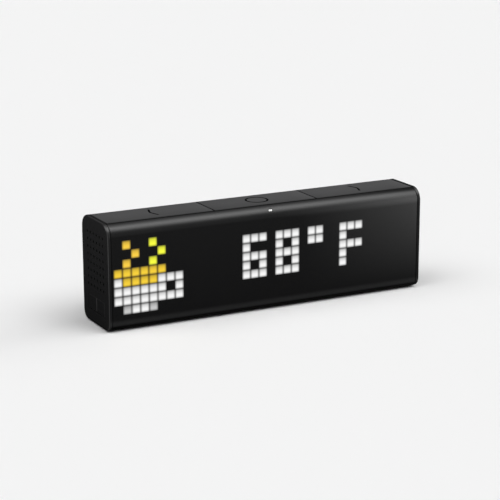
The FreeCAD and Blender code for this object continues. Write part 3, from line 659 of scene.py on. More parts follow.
def pixel_face():
    """Node group for a lit pixel: dimmer towards its top, soft at its rim and faintly grained."""
    group = GroupNodes("pixel_face", {"Colour": (1, 1, 1, 1), "Dim share": 0.66, "Level": 1.0})
    given, tile = group.given, group.split(group.add("UVMap", "UV", uv_map="tile"))
    glow_rise, rim_rise = (0.08, 0.68), (-0.09, 0.26)
    grain_scale, grain_depth = 1500.0, 0.06
    dim = given["Dim share"]
    glow = group.times_plus(group.soft_ramp(group.rest(tile["Y"]), *glow_rise), group.rest(dim), dim)
    rims = [group.soft_ramp(group.calc("MINIMUM", tile[side], group.rest(tile[side])), *rim_rise)
            for side in ("X", "Y")]
    grain = group.noise(group.place(), grain_scale, detail=2.0, roughness=0.6)
    grain = group.times_plus(grain, grain_depth, 1 - grain_depth / 2)
    value = group.times(glow, group.times(*rims), group.times(grain, given["Level"]))
    return group.close(Colour=group.mix(value, (0, 0, 0, 1), given["Colour"]))


def woven_cloth():
    """Node group for fine mesh cloth: the product of two sine waves, one across and one up the weave."""
    group = GroupNodes("woven_cloth", {
        "Thread": (0.03, 0.03, 0.03, 1), "Gap": (0.004, 0.004, 0.004, 1), "Pitch": 0.4 * MM})
    given, place = group.given, group.split(group.place())
    turn = group.calc("DIVIDE", 2 * math.pi, given["Pitch"])
    waves = [group.calc("SINE", group.times(place[axis], turn)) for axis in ("Y", "Z")]
    weave = group.ramp(group.times(*waves), -0.6, 0.6)
    return group.close(Colour=group.mix(weave, given["Gap"], given["Thread"]), Height=weave)


def board_print():
    """Node group for circuit boards: paler tracks in the resist, as square rings round scattered points."""
    group = GroupNodes("board_print", {
        "Resist": (0.01, 0.08, 0.04, 1), "Track": (0.03, 0.16, 0.08, 1), "Pitch": 1.6 * MM})
    given = group.given
    rings_to_pitch, track_start, track_full = 3.0, 0.6, 0.66
    inputs = {"Vector": group.place(), "Scale": group.calc("DIVIDE", 1.0, given["Pitch"])}
    away = group.add("TexVoronoi", "Distance", inputs, distance="CHEBYCHEV")
    track = group.ramp(group.calc("FRACT", group.times(away, rings_to_pitch)), track_start, track_full)
    return group.close(Colour=group.mix(track, given["Resist"], given["Track"]), Height=track)


def group_node(tree, builder, inputs, name=None):
    """A node with the group that builder makes, which is made once, and with its inputs set."""
    node = tree.nodes.new("ShaderNodeGroup")
    node.name = name or builder.__name__
    node.node_tree = bpy.data.node_groups.get(builder.__name__) or builder()
    for label, value in inputs.items():
        node.inputs[label].default_value = value
    return node


def opaque(value):
    return tuple(value) + (1.0,)


def new_material(name, builder, inputs, bump=0.0, colour_to="Base Color", **shader_values):
    """A Principled material whose colour, roughness and bump come from a node group.

    shader_values are set on the shader's own sockets, each under its socket's name with _ for a space.
    """
    material = bpy.data.materials.new(name)
    material.use_nodes = True
    tree = material.node_tree
    shader = tree.nodes["Principled BSDF"]
    group = group_node(tree, builder, inputs)
    tree.links.new(group.outputs["Colour"], shader.inputs[colour_to])
    if "Roughness" in group.outputs:
        tree.links.new(group.outputs["Roughness"], shader.inputs["Roughness"])
    if bump:
        relief = {"Strength": 1.0, "Distance": bump, "Height": group.outputs["Height"]}
        tree.links.new(Nodes(tree).add("Bump", "Normal", relief), shader.inputs["Normal"])
    for label, value in shader_values.items():
        shader.inputs[label.replace("_", " ")].default_value = value
    return material


def moulded(name, base, roughness, grain=0.3 * MM, bump=0.004 * MM, dust=0.05, unevenness=0.06, specular=0.5,
            **shader_values):
    """A moulded plastic, rubber, resin or metal finish, with dust somewhat paler than its base."""
    dust_colour = tuple(min(1.0, part * 1.5 + 0.05) for part in base)
    inputs = {"Colour": opaque(base), "Dust colour": opaque(dust_colour), "Dust": dust,
              "Roughness": roughness, "Unevenness": unevenness, "Grain size": grain}
    return new_material(name, moulded_skin, inputs, bump, Specular_IOR_Level=specular, **shader_values)


def lit(name, tint, level, dim):
    """A lit pixel: its own light through a satin front."""
    return new_material(name, pixel_face, {"Colour": opaque(tint), "Dim share": dim, "Level": level},
                        colour_to="Emission Color", Base_Color=(0.004, 0.004, 0.004, 1), Roughness=0.4,
                        Specular_IOR_Level=0.2, Emission_Strength=1.0)


def glossy(material, case, side_share=0.0, rim_share=0.0, rim_start=0.3 * MM, rim_full=0.7 * MM):
    """Adds the uneven gloss, as a clear coat, to a finish."""
    tree = material.node_tree
    group = group_node(tree, soft_gloss, {
        "Turn start": case.top - case.top_radius, "Turn radius": case.top_radius,
        "Half length": case.half_length, "Side share": side_share, "Rim share": rim_share,
        "Rim start": rim_start, "Rim full": rim_full})
    shader = tree.nodes["Principled BSDF"]
    tree.links.new(group.outputs["Coat"], shader.inputs["Coat Weight"])
    shader.inputs["Coat Roughness"].default_value = 0.35
    shader.inputs["Coat IOR"].default_value = 1.8
    return material


def darkened(material, name, base, low, height, fall, direction=(0, 0, 1)):
    """Lets a moulded finish change to the low colour below a height, measured along a direction."""
    tree = material.node_tree
    group = group_node(tree, falling_tone, {
        "Colour": opaque(base), "Low colour": opaque(low), "Height": height, "Fall": fall,
        "Direction": direction}, name)
    skin = tree.nodes["moulded_skin"].inputs["Colour"]
    if skin.is_linked:
        tree.links.new(skin.links[0].from_socket, group.inputs["Colour"])
    tree.links.new(group.outputs["Colour"], skin)
    return material


def smoked_plastic(clock):
    """The front's satin finish, uneven in its gloss, with painted shade that turns it black where it turns
    under, where the contact shadow falls.
    """
    case, tint = clock.case, clock.colours.front
    satin = moulded("smoked_plastic", tint, 0.3, grain=0.35 * MM, bump=0.0012 * MM, dust=0.01,
                    unevenness=0.03, specular=0.01)
    uneven = glossy(satin, case, side_share=1.0)
    # Painted shade: the base colour falls to black along the lowest part of the lower rounded edge, standing
    # in for the contact shadow under the clock.
    painted_shade_height, painted_shade_fall = case.bottom + 0.6 * case.bottom_radius, 0.14 * case.bottom_radius
    return darkened(uneven, "black_foot", tint, (0, 0, 0), painted_shade_height, painted_shade_fall)


def case_plastic(clock):
    matt = moulded("case_plastic", clock.colours.case, 0.45, grain=0.4 * MM, dust=0.03, specular=0.012)
    return glossy(matt, clock.case)


def cap_plastic(clock):
    """The caps' finish, with painted light and shade that make it a little paler towards their top and darker
    near the table.
    """
    case, colours = clock.case, clock.colours
    matt = moulded("cap_plastic", colours.cap_top, 0.45, grain=0.4 * MM, dust=0.03, specular=0.0)
    finish = glossy(matt, case, rim_share=0.58, rim_start=0.22 * MM, rim_full=0.5 * MM)
    # Painted light and shade: the caps' colour grows paler with height, as light from above falls on them.
    return darkened(finish, "paler_top", colours.cap_top, colours.cap_low, case.top, 0.8 * case.top)


def key_plastic(clock):
    """The side keys' finish, a little darker than the case and glossy round their faces' rims."""
    tint = tuple(0.9 * part for part in clock.colours.case)
    matt = moulded("key_plastic", tint, 0.4, grain=0.3 * MM, bump=0.003 * MM, dust=0.02, specular=0.0)
    return glossy(matt, clock.case, rim_share=0.9, rim_start=0.03 * MM, rim_full=0.25 * MM)


def plate_plastic(clock):
    """The plates' satin finish, with painted shade: a little darker towards the front, and dark on their rims
    and sides where the seams' shade falls.
    """
    case, plates, colours = clock.case, clock.plates, clock.colours
    satin = moulded("plate_plastic", colours.plate, 0.5, grain=0.35 * MM, bump=0.003 * MM, dust=0.04,
                    specular=0.02)
    # Painted shade: the plate's colour darkens towards its front edge.
    darkened(satin, "front_fade", colours.plate, colours.plate_front, 0.0, plates.half_depth, (0, 1, 0))
    top = case.top - case.skin
    # Painted shade: the plate's rim and sides turn dark below its top, standing in for the shade in the seams.
    return darkened(satin, "dark_rim", colours.plate, colours.plate_rim, top, plates.rim_fall)


def brushed_metal(clock):
    found = bpy.data.materials.get("plated_metal")
    return found or moulded("plated_metal", clock.colours.metal, 0.32, grain=0.15 * MM, bump=0.002 * MM,
                            dust=0.02, unevenness=0.12, Metallic=1.0)


# Pieces

class CLOCK_OT_front_shell(bpy.types.Operator):
    """Builds the smoked front shell, from the top seam round the front to the seam in the base"""
    bl_idname = "pixel_clock.front_shell"
    bl_label = "Front shell"

    def execute(self, context):
        clock = settings()
        case = clock.case
        _, top_end, low_start, _, bottom = outline_marks(case)
        lens = lens_window(case, clock.readout, 0)
        beside_turns = [top_end + BESIDE_TURN, low_start - BESIDE_TURN]
        along, x = shell_stations(case, top_seam(clock), bottom - case.bottom_seam,
                                  [outline_turns(case), beside_turns, lens[:2]], [lens[2:]])
        grids = outline_grids(case, along, x, case.seam_bevel, case.end_bevel)
        panel = thick_sheet(*grids, ~faces_within(along, x, lens))
        make_piece("smoked_front", [panel], smoked_plastic(clock), CASE_BODY, ["front_shell"])
        return {"FINISHED"}


def top_seam(clock):
    """Distance round the outline at which the upper edge of a shell stands beside the plates."""
    plates = clock.plates
    return outline_distance(clock.case, plates.half_depth + plates.gap - plates.seam_shift)


def lens_window(case, readout, gap):
    """The sensor window's place as (low, high) along the outline and (low, high) in x, drawn in by gap."""
    middle = outline_marks(case)[0] + case.top_radius * (QUARTER - readout.lens_angle)
    half_height, half_length = readout.lens_half_height - gap, readout.lens_half_length - gap
    return (middle - half_height, middle + half_height,
            readout.lens_x - half_length, readout.lens_x + half_length)


class CLOCK_OT_rear_housing(bpy.types.Operator):
    """Builds the rear housing: back and base, with the socket's pocket"""
    bl_idname = "pixel_clock.rear_housing"
    bl_label = "Rear housing"

    def execute(self, context):
        clock = settings()
        case = clock.case
        _, top_end, _, _, bottom = outline_marks(case)
        low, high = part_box("usb_socket")
        middle = (low.z + high.z) / 2
        level = -(top_end + case.top - case.top_radius - middle)
        reach_x = case.pocket_width / 2 + case.pocket_room
        reach_z = case.pocket_height / 2 + case.pocket_room
        low_side, high_side = level - reach_z, level + reach_z
        near_corner = 0.3 * MM * np.arange(1, 7)
        along, x = shell_stations(
            case, -(bottom + case.bottom_seam - case.seam_gap), -top_seam(clock),
            [-outline_turns(case), [-top_end - BESIDE_TURN, -bottom, low_side, high_side],
             low_side + near_corner, high_side - near_corner],
            [[-reach_x, reach_x], near_corner - reach_x, reach_x - near_corner])
        outer, inner = outline_grids(case, along, x, case.seam_bevel, case.end_bevel)
        region = faces_within(along, x, (low_side, high_side, -reach_x, reach_x))
        panel = thick_sheet(outer, inner, ~region, patched=region)
        rows, columns = np.flatnonzero(region.any(1)), np.flatnonzero(region.any(0))
        cell = (rows[0], rows[-1] + 1, columns[0], columns[-1] + 1)
        pocket = pocket_surface(case, cell_loop(outer, *cell), cell_loop(inner, *cell), middle, high - low)
        finish = case_plastic(clock)
        make_piece("rear_cover", [panel, pocket], finish, CASE_BODY, ["rear_housing"])
        return {"FINISHED"}


def pocket_surface(case, outer_loop, inner_loop, middle, socket):
    """The socket's pocket, from the back's outer face down its walls, through its floor and back up outside.

    Every ring is the rounded rectangle nearest to the loop of points at which the pocket joins the back.
    """
    half_u, half_v = case.pocket_width / 2, case.pocket_height / 2
    across, up = outer_loop[:, 0], outer_loop[:, 2] - middle
    mouth, inside = outer_loop[0, 1], inner_loop[0, 1]
    floor = case.half_depth - case.pocket_depth
    back = floor - case.pocket_wall

    def ring(depth, wide, tall, corner):
        u, v = nearest_round(across, up, wide, tall, corner)
        return np.stack([u, np.full_like(u, depth), v + middle], 1)

    bevel, corner, wall = case.pocket_bevel, case.pocket_corner, case.pocket_wall
    rings = [outer_loop]
    for turn in even_steps(0, QUARTER, 5):
        grown = bevel * (1 - math.sin(turn))
        depth = mouth - bevel * (1 - math.cos(turn))
        rings.append(ring(depth, half_u + grown, half_v + grown, corner + grown))
    socket_room = 0.08 * MM
    tight_u, tight_v = socket.x / 2 + socket_room, socket.z / 2 + socket_room
    rings += [ring(floor, half_u, half_v, corner), ring(floor, tight_u, tight_v, tight_v),
              ring(back, tight_u, tight_v, tight_v)]
    rings += [ring(depth, half_u + wall, half_v + wall, corner + wall) for depth in (back, inside)]
    return joined_rings(rings + [inner_loop])


# Faces along each side of a grille cell, and what is too narrow for a face of its own.
CELL_SIDE = 8
SLIVER = 0.01 * MM


class CLOCK_OT_end_caps(bpy.types.Operator):
    """Builds both end caps: rounded rim, grille of round holes and windows for the keys"""
    bl_idname = "pixel_clock.end_caps"
    bl_label = "End caps"

    def execute(self, context):
        clock = settings()
        case, caps = clock.case, clock.caps
        left = cap_surfaces(case, caps, 2 * caps.key_length + caps.key_gap)
        right = [mirrored(surface) for surface in cap_surfaces(case, caps, caps.key_length)]
        material = cap_plastic(clock)
        make_piece("left_cap", left, material, CASE_BODY, ["left_end_cap"])
        make_piece("right_cap", right, material, CASE_BODY, ["right_end_cap"])
        return {"FINISHED"}


def cap_surfaces(case, caps, key_room):
    """The left cap as surfaces that share their rim points: the rim, the plate and the grille's cells.

    The plate's rows are the heights of the outline's own points, and each row runs between the outline's two
    sides; rows and columns also fall on the sides of the grille's cells and of the key window.
    """
    out_x, in_x = -case.half_length, -case.half_length + caps.thickness
    flats = (outline_marks(case)[0], case.half_depth - case.bottom_radius)
    keys, grille = cap_openings(caps, key_room)
    columns = cap_columns(case, caps, flats, keys, grille)
    half_loop = cap_half_loop(case, caps, keys, grille)
    row_y, row_z = outline(case, half_loop, np.full(len(half_loop), caps.rim_radius))
    rows_z, half_widths = row_z[::-1], -row_y[::-1]
    grid_y = np.clip(columns[None, :], -half_widths[:, None], half_widths[:, None])
    grid_z = np.repeat(rows_z[:, None], len(columns), 1)
    outer, inner = (np.stack([np.full_like(grid_y, x), grid_y, grid_z], -1) for x in (out_x, in_x))

    in_window, in_grille = (faces_within(rows_z, columns, opening) for opening in (keys, grille))
    plate = thick_sheet(outer, inner, ~in_window & ~in_grille, patched=in_grille, open_border=True)
    first_column = nearest(columns, grille[2])
    row_ends = [nearest(rows_z, grille[0] + row * caps.pitch) for row in range(caps.rows + 1)]
    holes = [grille_hole(caps, outer, inner, (low, high, left, left + CELL_SIDE))
             for low, high in zip(row_ends, row_ends[1:])
             for left in range(first_column, first_column + caps.columns * CELL_SIDE, CELL_SIDE)]

    walks = []
    for across in (-columns[::-1], columns):
        top_row, low_row = (across[(across > 0) & (across < flat - SLIVER)] for flat in flats)
        walks.append(np.concatenate([top_row, half_loop, (outline_marks(case)[-1] - low_row)[::-1]]))
    rim = cap_rim(case, caps, np.concatenate([walks[0], -walks[1][::-1]]), out_x, in_x)
    return [rim, plate] + holes


def cap_openings(caps, key_room):
    """The key window and the grille's field, each as (low, high) in height and (front, back) in depth."""
    half_key_y, half_grille_y = key_room / 2 + caps.key_gap, caps.columns * caps.pitch / 2
    half_grille_z = caps.rows * caps.pitch / 2
    keys = (caps.key_middle - caps.key_height / 2 - caps.key_gap,
            caps.key_middle + caps.key_height / 2 + caps.key_gap,
            caps.feature_place - half_key_y, caps.feature_place + half_key_y)
    grille = (caps.grille_middle - half_grille_z, caps.grille_middle + half_grille_z,
              caps.feature_place - half_grille_y, caps.feature_place + half_grille_y)
    return keys, grille


def cap_columns(case, caps, flats, keys, grille):
    """The depths of the plate's columns, which also fall on the ends of the outline's flats."""
    cell_y = even_steps(*grille[2:], caps.columns * CELL_SIDE)
    marks = np.array([*keys[2:], -flats[0], flats[0], -flats[1], flats[1]])
    side_y, near_side_y = case.half_depth - caps.rim_radius, 15 * MM
    beyond = np.concatenate([marks, [-side_y, -near_side_y, near_side_y, side_y]])
    beyond = beyond[(beyond < cell_y[0]) | (beyond > cell_y[-1])]
    return np.sort(np.concatenate([moved_to(cell_y, marks), beyond]))


def cap_half_loop(case, caps, keys, grille):
    """Distances round the outline, from the top's flat to the base's, of the points that make the rows."""
    top_end, low_start = outline_marks(case)[1:3]
    side_top = case.top - case.top_radius
    side_low = case.bottom + case.bottom_radius
    grille_low, grille_high = grille[:2]
    cell_z = even_steps(grille_low, grille_high, caps.rows * CELL_SIDE)
    straight_z = np.concatenate([cell_z[cell_z < side_top - 0.2 * MM], [side_low, *keys[:2]],
                                 stations(side_low, grille_low, 3 * MM)[1:-1], [side_top]])
    straight_z = tidy_values(straight_z[straight_z <= side_top])
    inner_turn = case.top_radius - caps.rim_radius
    high_turn = [math.asin((grille_high - side_top) / inner_turn)] if grille_high > side_top else []
    turn = np.concatenate([[0.0], high_turn, even_steps(max(high_turn + [0.0]), QUARTER, 14)[1:]])
    upper = top_end - case.top_radius * turn
    lower = low_start + even_steps(0, case.bottom_radius * QUARTER, 14)
    return tidy_values(np.concatenate([upper, top_end + (side_top - straight_z), lower]))


def nearest(values, target):
    return int(np.abs(values - target).argmin())


def moved_to(values, targets):
    """values with the nearest one moved onto each target, but never a cell's own side."""
    values = values.copy()
    free = np.arange(len(values)) % CELL_SIDE != 0
    for target in targets:
        if values[0] < target < values[-1]:
            place = nearest(np.where(free, values, np.inf), target)
            values[place] = target
            free[place] = False
    return values


def cap_rim(case, caps, along, out_x, in_x):
    """The rim: the closed outline carried along a profile, from the outer face over its rounding inwards."""
    turn = even_steps(QUARTER, 0, 8)
    radius, inner_bevel = caps.rim_radius, 0.12 * MM
    xs = np.concatenate([out_x + radius * (1 - np.sin(turn)), [in_x - inner_bevel, in_x, in_x]])
    insets = np.concatenate([radius * (1 - np.cos(turn)), [0.0, inner_bevel, radius]])
    grid_x, grid_along = np.meshgrid(xs, along)
    y, z = outline(case, grid_along, np.repeat(insets[None, :], len(along), 0))
    index = np.arange(len(along) * len(xs)).reshape(len(along), len(xs))
    after = np.roll(index, -1, axis=0)
    quads = np.stack([index[:, :-1], after[:, :-1], after[:, 1:], index[:, 1:]], -1).reshape(-1, 4)
    return np.stack([grid_x, y, z], -1).reshape(-1, 3), quads


def grille_hole(caps, outer, inner, cell):
    """One cell of the grille: its rim is joined to a circle, and the circle goes through the plate."""
    loops = [cell_loop(grid, *cell) for grid in (outer, inner)]
    middle = (loops[0].min(0) + loops[0].max(0)) / 2
    u, v = nearest_round(loops[0][:, 1] - middle[1], loops[0][:, 2] - middle[2], *[caps.hole_radius] * 3)
    round_ends = [np.stack([loop[:, 0], u + middle[1], v + middle[2]], 1) for loop in loops]
    return joined_rings([loops[0], *round_ends, loops[1]])


class CLOCK_OT_press_plates(bpy.types.Operator):
    """Builds the three press plates along the top and the plain lines marked on them"""
    bl_idname = "pixel_clock.press_plates"
    bl_label = "Press plates"

    def execute(self, context):
        clock = settings()
        case, plates = clock.case, clock.plates
        reach = outline_distance(case, plates.half_depth - plates.drawn_in - plates.seam_shift)
        turns = even_steps(outline_marks(case)[0], reach, 5)
        along = stations(-reach, reach, OUTLINE_STEP, plates.bevel, np.concatenate([turns, -turns]))
        finish = plate_plastic(clock)
        ink = moulded("mark_ink", clock.colours.mark, 0.9, grain=0.2 * MM, bump=0.001 * MM, dust=0.0,
                      specular=0.0)
        top = case.top - case.skin
        line = (plates.mark_line, top - 0.2 * MM, top + 0.02 * MM)
        arrows = [flat_line(arrow_path(plates, side), *line) for side in (-1, 1)]
        ring = flat_ring(plates.ring_radius, *line)
        for node, mark, drawn in (("left_button", "left_arrow_mark", arrows[0]),
                                  ("action_button", "ring_mark", ring),
                                  ("right_button", "right_arrow_mark", arrows[1])):
            body = node + "_body"
            low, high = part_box(node)
            x = stations(low.x + plates.drawn_in, high.x - plates.drawn_in, 12 * MM, plates.bevel)
            plate = plate_surface(case, plates, along, x)
            make_piece(node + "_plate", [plate], finish, body, [node])
            drawn = placed(drawn, np.eye(3), (plates.marks_middle, 0, 0))
            make_piece(mark, [drawn], ink, body)
        return {"FINISHED"}


def plate_surface(case, plates, along, x):
    """A plate: the outline on top, rounded at its rim, and flat below."""
    grid_along, grid_x, drop = sunk_grid(case, along, x, plates.bevel, plates.bevel)
    y, z = outline(case, grid_along, np.zeros_like(drop))
    underside = np.full_like(y, case.top - plates.thickness)
    return thick_sheet(np.stack([grid_x, y, z - drop], -1), np.stack([grid_x, y, underside], -1))


def arrow_path(plates, side):
    """Middle line of an arrow mark whose tip is rounded and points to the given side.

    Its distance from the tip is the root of y squared plus a small number squared, less that number, which is
    straight at the ends and rounded at the tip.
    """
    y = even_steps(-plates.arrow_half, plates.arrow_half, 40)
    blunt = 1.3 * MM
    lean = np.sqrt(y ** 2 + blunt ** 2) - blunt
    return np.stack([side * (plates.arrow_place - plates.arrow_depth * lean / lean.max()), y], 1)


class CLOCK_OT_side_keys(bpy.types.Operator):
    """Builds the two volume keys in the left cap and the power button in the right one"""
    bl_idname = "pixel_clock.side_keys"
    bl_label = "Side keys"

    def execute(self, context):
        clock = settings()
        caps, outer = clock.caps, clock.case.half_length
        finish = key_plastic(clock)
        corner, behind_cap = 0.6 * MM, 0.5 * MM
        profile = round_profile(outer - caps.thickness - behind_cap, outer, caps.key_bevel)
        surface = slab(caps.key_length / 2, caps.key_height / 2, corner, profile)
        step = (caps.key_length + caps.key_gap) / 2
        keys = (("volume_up_face", "volume_up_key", "volume_up_body", -step, -1),
                ("volume_down_face", "volume_down_key", "volume_down_body", step, -1),
                ("power_face", "power_button", "power_button_body", 0.0, 1))
        for name, node, body, y, side in keys:
            axes, offset = [[0, 1, 0], [0, 0, 1], [side, 0, 0]], (0, y + caps.feature_place, caps.key_middle)
            make_piece(name, [placed(surface, axes, offset)], finish, body, [node])
        return {"FINISHED"}


class CLOCK_OT_sensor_window(bpy.types.Operator):
    """Builds the small milky window of the light sensor in the upper front edge"""
    bl_idname = "pixel_clock.sensor_window"
    bl_label = "Sensor window"

    def execute(self, context):
        clock = settings()
        low, high, left, right = lens_window(clock.case, clock.readout, clock.readout.lens_gap)
        step, bevel = 0.3 * MM, 0.15 * MM
        along, x = stations(low, high, step, bevel), stations(left, right, step, bevel)
        panel = thick_sheet(*outline_grids(clock.case, along, x, bevel, bevel))
        finish = moulded("milky_lens", (0.82, 0.82, 0.81), 0.2, grain=0.5 * MM, bump=0.0, dust=0.0,
                         unevenness=0.02)
        make_piece("sensor_lens", [panel], finish, CASE_BODY, ["light_sensor_window"])
        return {"FINISHED"}


# What is lit, as (first column, first row, rows from the top down): a small picture and then the signs of the
# readout. A letter gives the colour: w white, d dimmer white, a amber, o orange, l lime.
LIT_SIGNS = (
    (0, 0, (".o..l...",
            "..o..l..",
            ".o..l...",
            "aaaaaa..",
            "waaaawww",
            "wwwwww.w",
            "wwwwwwww",
            ".dwwd...")),
    (15, 1, ("www", "w..", "www", "w.w", "www")),
    (19, 1, ("www", "w.w", "www", "w.w", "www")),
    (23, 1, ("ww", "ww")),
    (27, 1, ("www", "w..", "www", "w..", "w..")),
)

# For each letter, the name of its pixels and of their colour, their level and how dim their top is.
LIT_FINISHES = {
    "w": ("white", "white", 1.0, 0.64),
    "d": ("dim", "white", 0.6, 0.62),
    "a": ("amber", "amber", 1.0, 0.68),
    "o": ("orange", "orange", 1.0, 0.66),
    "l": ("lime", "lime", 1.0, 0.7),
}


class CLOCK_OT_readout(bpy.types.Operator):
    """Builds the lit pixels of the readout, one square tile each"""
    bl_idname = "pixel_clock.readout"
    bl_label = "Readout"

    def execute(self, context):
        clock = settings()
        for letter, (name, tint, level, dim) in LIT_FINISHES.items():
            places = [(first_column + column, first_row + row) for first_column, first_row, lines in LIT_SIGNS
                      for row, line in enumerate(lines) for column, kind in enumerate(line) if kind == letter]
            light = lit(name + "_light", getattr(clock.colours, tint + "_pixel"), level, dim)
            tile_piece(name + "_pixels", np.array(places, float), clock, light)
        return {"FINISHED"}


def tile_piece(name, places, clock, material):
    """Square tiles just proud of the front, with a map of 0 to 1 on each.

    A tile's points are its middle plus or minus half its side, at a front and at a back depth.
    """
    readout, case = clock.readout, clock.case
    x = (places[:, 0] - (readout.columns - 1) / 2) * readout.pitch
    z = readout.middle - (places[:, 1] - (readout.rows - 1) / 2) * readout.pitch
    half = readout.tile / 2
    front = -case.half_depth + 0.01 * MM
    back = front + 0.4 * MM
    corner = np.array([[-1, -1], [1, -1], [1, 1], [-1, 1]]) * half
    flat = np.stack([x, z], 1)[:, None, :] + corner[None]
    points = np.concatenate([np.insert(flat, 1, depth, axis=-1) for depth in (front, back)], 1)
    pattern = np.array([[0, 1, 2, 3], [7, 6, 5, 4], [4, 5, 1, 0], [5, 6, 2, 1], [6, 7, 3, 2], [7, 4, 0, 3]])
    quads = (np.arange(len(places))[:, None, None] * 8 + pattern[None]).reshape(-1, 4)
    mesh = bpy.data.meshes.new(name)
    mesh.from_pydata(points.reshape(-1, 3).tolist(), [], quads.tolist())
    spots = (np.tile(corner, (2, 1)) / half + 1) / 2
    loops = np.empty(len(mesh.loops), np.int32)
    mesh.loops.foreach_get("vertex_index", loops)
    mesh.uv_layers.new(name="tile").data.foreach_set("uv", spots[loops % 8].astype(np.float32).ravel())
    mesh.materials.append(material)
    piece = linked(name, mesh)
    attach(piece, CASE_BODY)


class CLOCK_OT_socket(bpy.types.Operator):
    """Builds the power socket at the back: a rounded metal shell with its contact tongue"""
    bl_idname = "pixel_clock.socket"
    bl_label = "Power socket"

    def execute(self, context):
        low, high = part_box("usb_socket")
        middle = (low + high) / 2
        half_width, half_height = (high.x - low.x) / 2, (high.z - low.z) / 2
        wall, floor, lip = 0.35 * MM, 0.4 * MM, 0.1 * MM
        back = low.y + floor
        profile = ((high.y, lip), (high.y - lip, 0.0), (back, 0.0), (back, wall), (high.y, wall))
        shell = joined_rings(rounded_rings(half_width, half_height, half_height, profile, 10), closed=True)
        plate = slab(half_width - lip, half_height - lip, half_height - lip, [(low.y, 0.0), (back, 0.0)], 10)
        tongue_half_width, tongue_half_height, tongue_corner = 2.9 * MM, 0.35 * MM, 0.2 * MM
        tongue_side = round_profile(low.y + 0.3 * MM, high.y - 0.5 * MM, 0.12 * MM)
        tongue = slab(tongue_half_width, tongue_half_height, tongue_corner, tongue_side)
        shell, plate, tongue = (placed(surface, [[1, 0, 0], [0, 0, 1], [0, 1, 0]], (middle.x, 0, middle.z))
                                for surface in (shell, plate, tongue))
        metal = brushed_metal(settings())
        make_piece("socket_shell", [shell, plate], metal, CASE_BODY, ["usb_socket"])
        dark = moulded("tongue_plastic", (0.012, 0.012, 0.012), 0.4)
        make_piece("socket_tongue", [tongue], dark, CASE_BODY)
        return {"FINISHED"}


class CLOCK_OT_inner_finishes(bpy.types.Operator):
    """Gives every piece of the solid model that stays in use its own finish"""
    bl_idname = "pixel_clock.inner_finishes"
    bl_label = "Feet and inner pieces"

    def execute(self, context):
        clock = settings()
        colours = clock.colours
        track = tuple(min(1.0, 1.9 * part + 0.01) for part in colours.board)
        tints = {"Resist": opaque(colours.board), "Track": opaque(track)}
        board = new_material("board_resist", board_print, tints, bump=0.01 * MM, Roughness=0.35)
        cloth = new_material("grille_mesh", woven_cloth, {}, bump=0.05 * MM, Roughness=0.85)
        rubber = moulded("soft_rubber", colours.rubber, 0.75, grain=0.5 * MM, bump=0.01 * MM, dust=0.1,
                         specular=0.3)
        black = moulded("inner_black", (0.012, 0.012, 0.012), 0.55)
        resin = moulded("chip_resin", (0.015, 0.015, 0.016), 0.6, grain=0.2 * MM, bump=0.006 * MM)
        milky = moulded("milky_sheet", (0.8, 0.8, 0.79), 0.6, grain=0.4 * MM, bump=0.002 * MM)
        pale = moulded("pale_plastic", colours.pale_plastic, 0.45)
        paper = moulded("cone_paper", (0.05, 0.05, 0.052), 0.8, grain=0.6 * MM, bump=0.02 * MM)
        metal = brushed_metal(clock)
        used = {
            board: ("display_board", "button_board", "volume_board", "power_board", "main_board"),
            cloth: ("grille_cloths",),
            rubber: ("rubber_feet",),
            black: ("light_grid", "button_tray", "speaker_frames"),
            resin: ("light_sensor", "processor", "memory_chips"),
            milky: ("diffuser_sheet",),
            pale: ("left_switch_stem", "action_switch_stem", "right_switch_stem", "volume_up_stem",
                   "volume_down_stem", "power_switch_stem", "cable_connectors", "display_ribbon",
                   "button_ribbon", "volume_ribbon", "power_ribbon", "speaker_leads"),
            paper: ("speaker_cones",),
            metal: ("top_switches", "volume_switches", "power_switch", "speaker_magnets", "radio_can"),
        }
        for material, nodes in used.items():
            for node in nodes:
                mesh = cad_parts[node].data
                mesh.materials.clear()
                mesh.materials.append(material)
        return {"FINISHED"}


# Stage

# Each lamp's name, its turn, rise and spread in degrees, and its strength.
LAMPS = (
    ("key_lamp", 48, 53, 50, 0.84),
    ("front_lamp", 20, 55, 45, 0.87),
    ("right_lamp", 90, 20, 40, 0.87),
    ("left_lamp", -60, 55, 45, 0.61),
    ("rear_left_lamp", -100, 55, 45, 0.62),
)
FLOOR_REACH = 12.0
# Where the camera looks, how far it is rolled, its sensor's width in millimetres and its lens in widths.
CAMERA_AIM = Vector((-4.05 * MM, 0, 31.73 * MM))
CAMERA_ROLL = math.radians(-0.133)
SENSOR_WIDTH = 36.0
LENS_WIDTHS = 1697.5 / 500


class CLOCK_OT_stage(bpy.types.Operator):
    """Sets the pale floor, the lamps, the surroundings and the camera"""
    bl_idname = "pixel_clock.stage"
    bl_label = "Stage"

    def execute(self, context):
        stage, scene = settings().stage, context.scene
        floor_sheet(stage)
        surroundings(scene, stage)
        for name, turn, rise, spread, share in LAMPS:
            lamp(name, math.radians(turn), math.radians(rise), math.radians(spread), share * stage.lamps)
        scene.camera = camera(stage)
        scene.view_settings.view_transform = "Standard"
        return {"FINISHED"}


def floor_sheet(stage):
    """One large flat sheet under the clock."""
    mesh = bpy.data.meshes.new("floor")
    corners = [(x * FLOOR_REACH, y * FLOOR_REACH, 0) for x, y in ((-1, -1), (1, -1), (1, 1), (-1, 1))]
    mesh.from_pydata(corners, [], [(0, 1, 2, 3)])
    mesh.materials.append(moulded("floor_paint", stage.floor, 0.9, grain=1.0 * MM, bump=0.0, dust=0.0,
                                  unevenness=0.02, specular=0.0))
    floor = linked("floor", mesh)


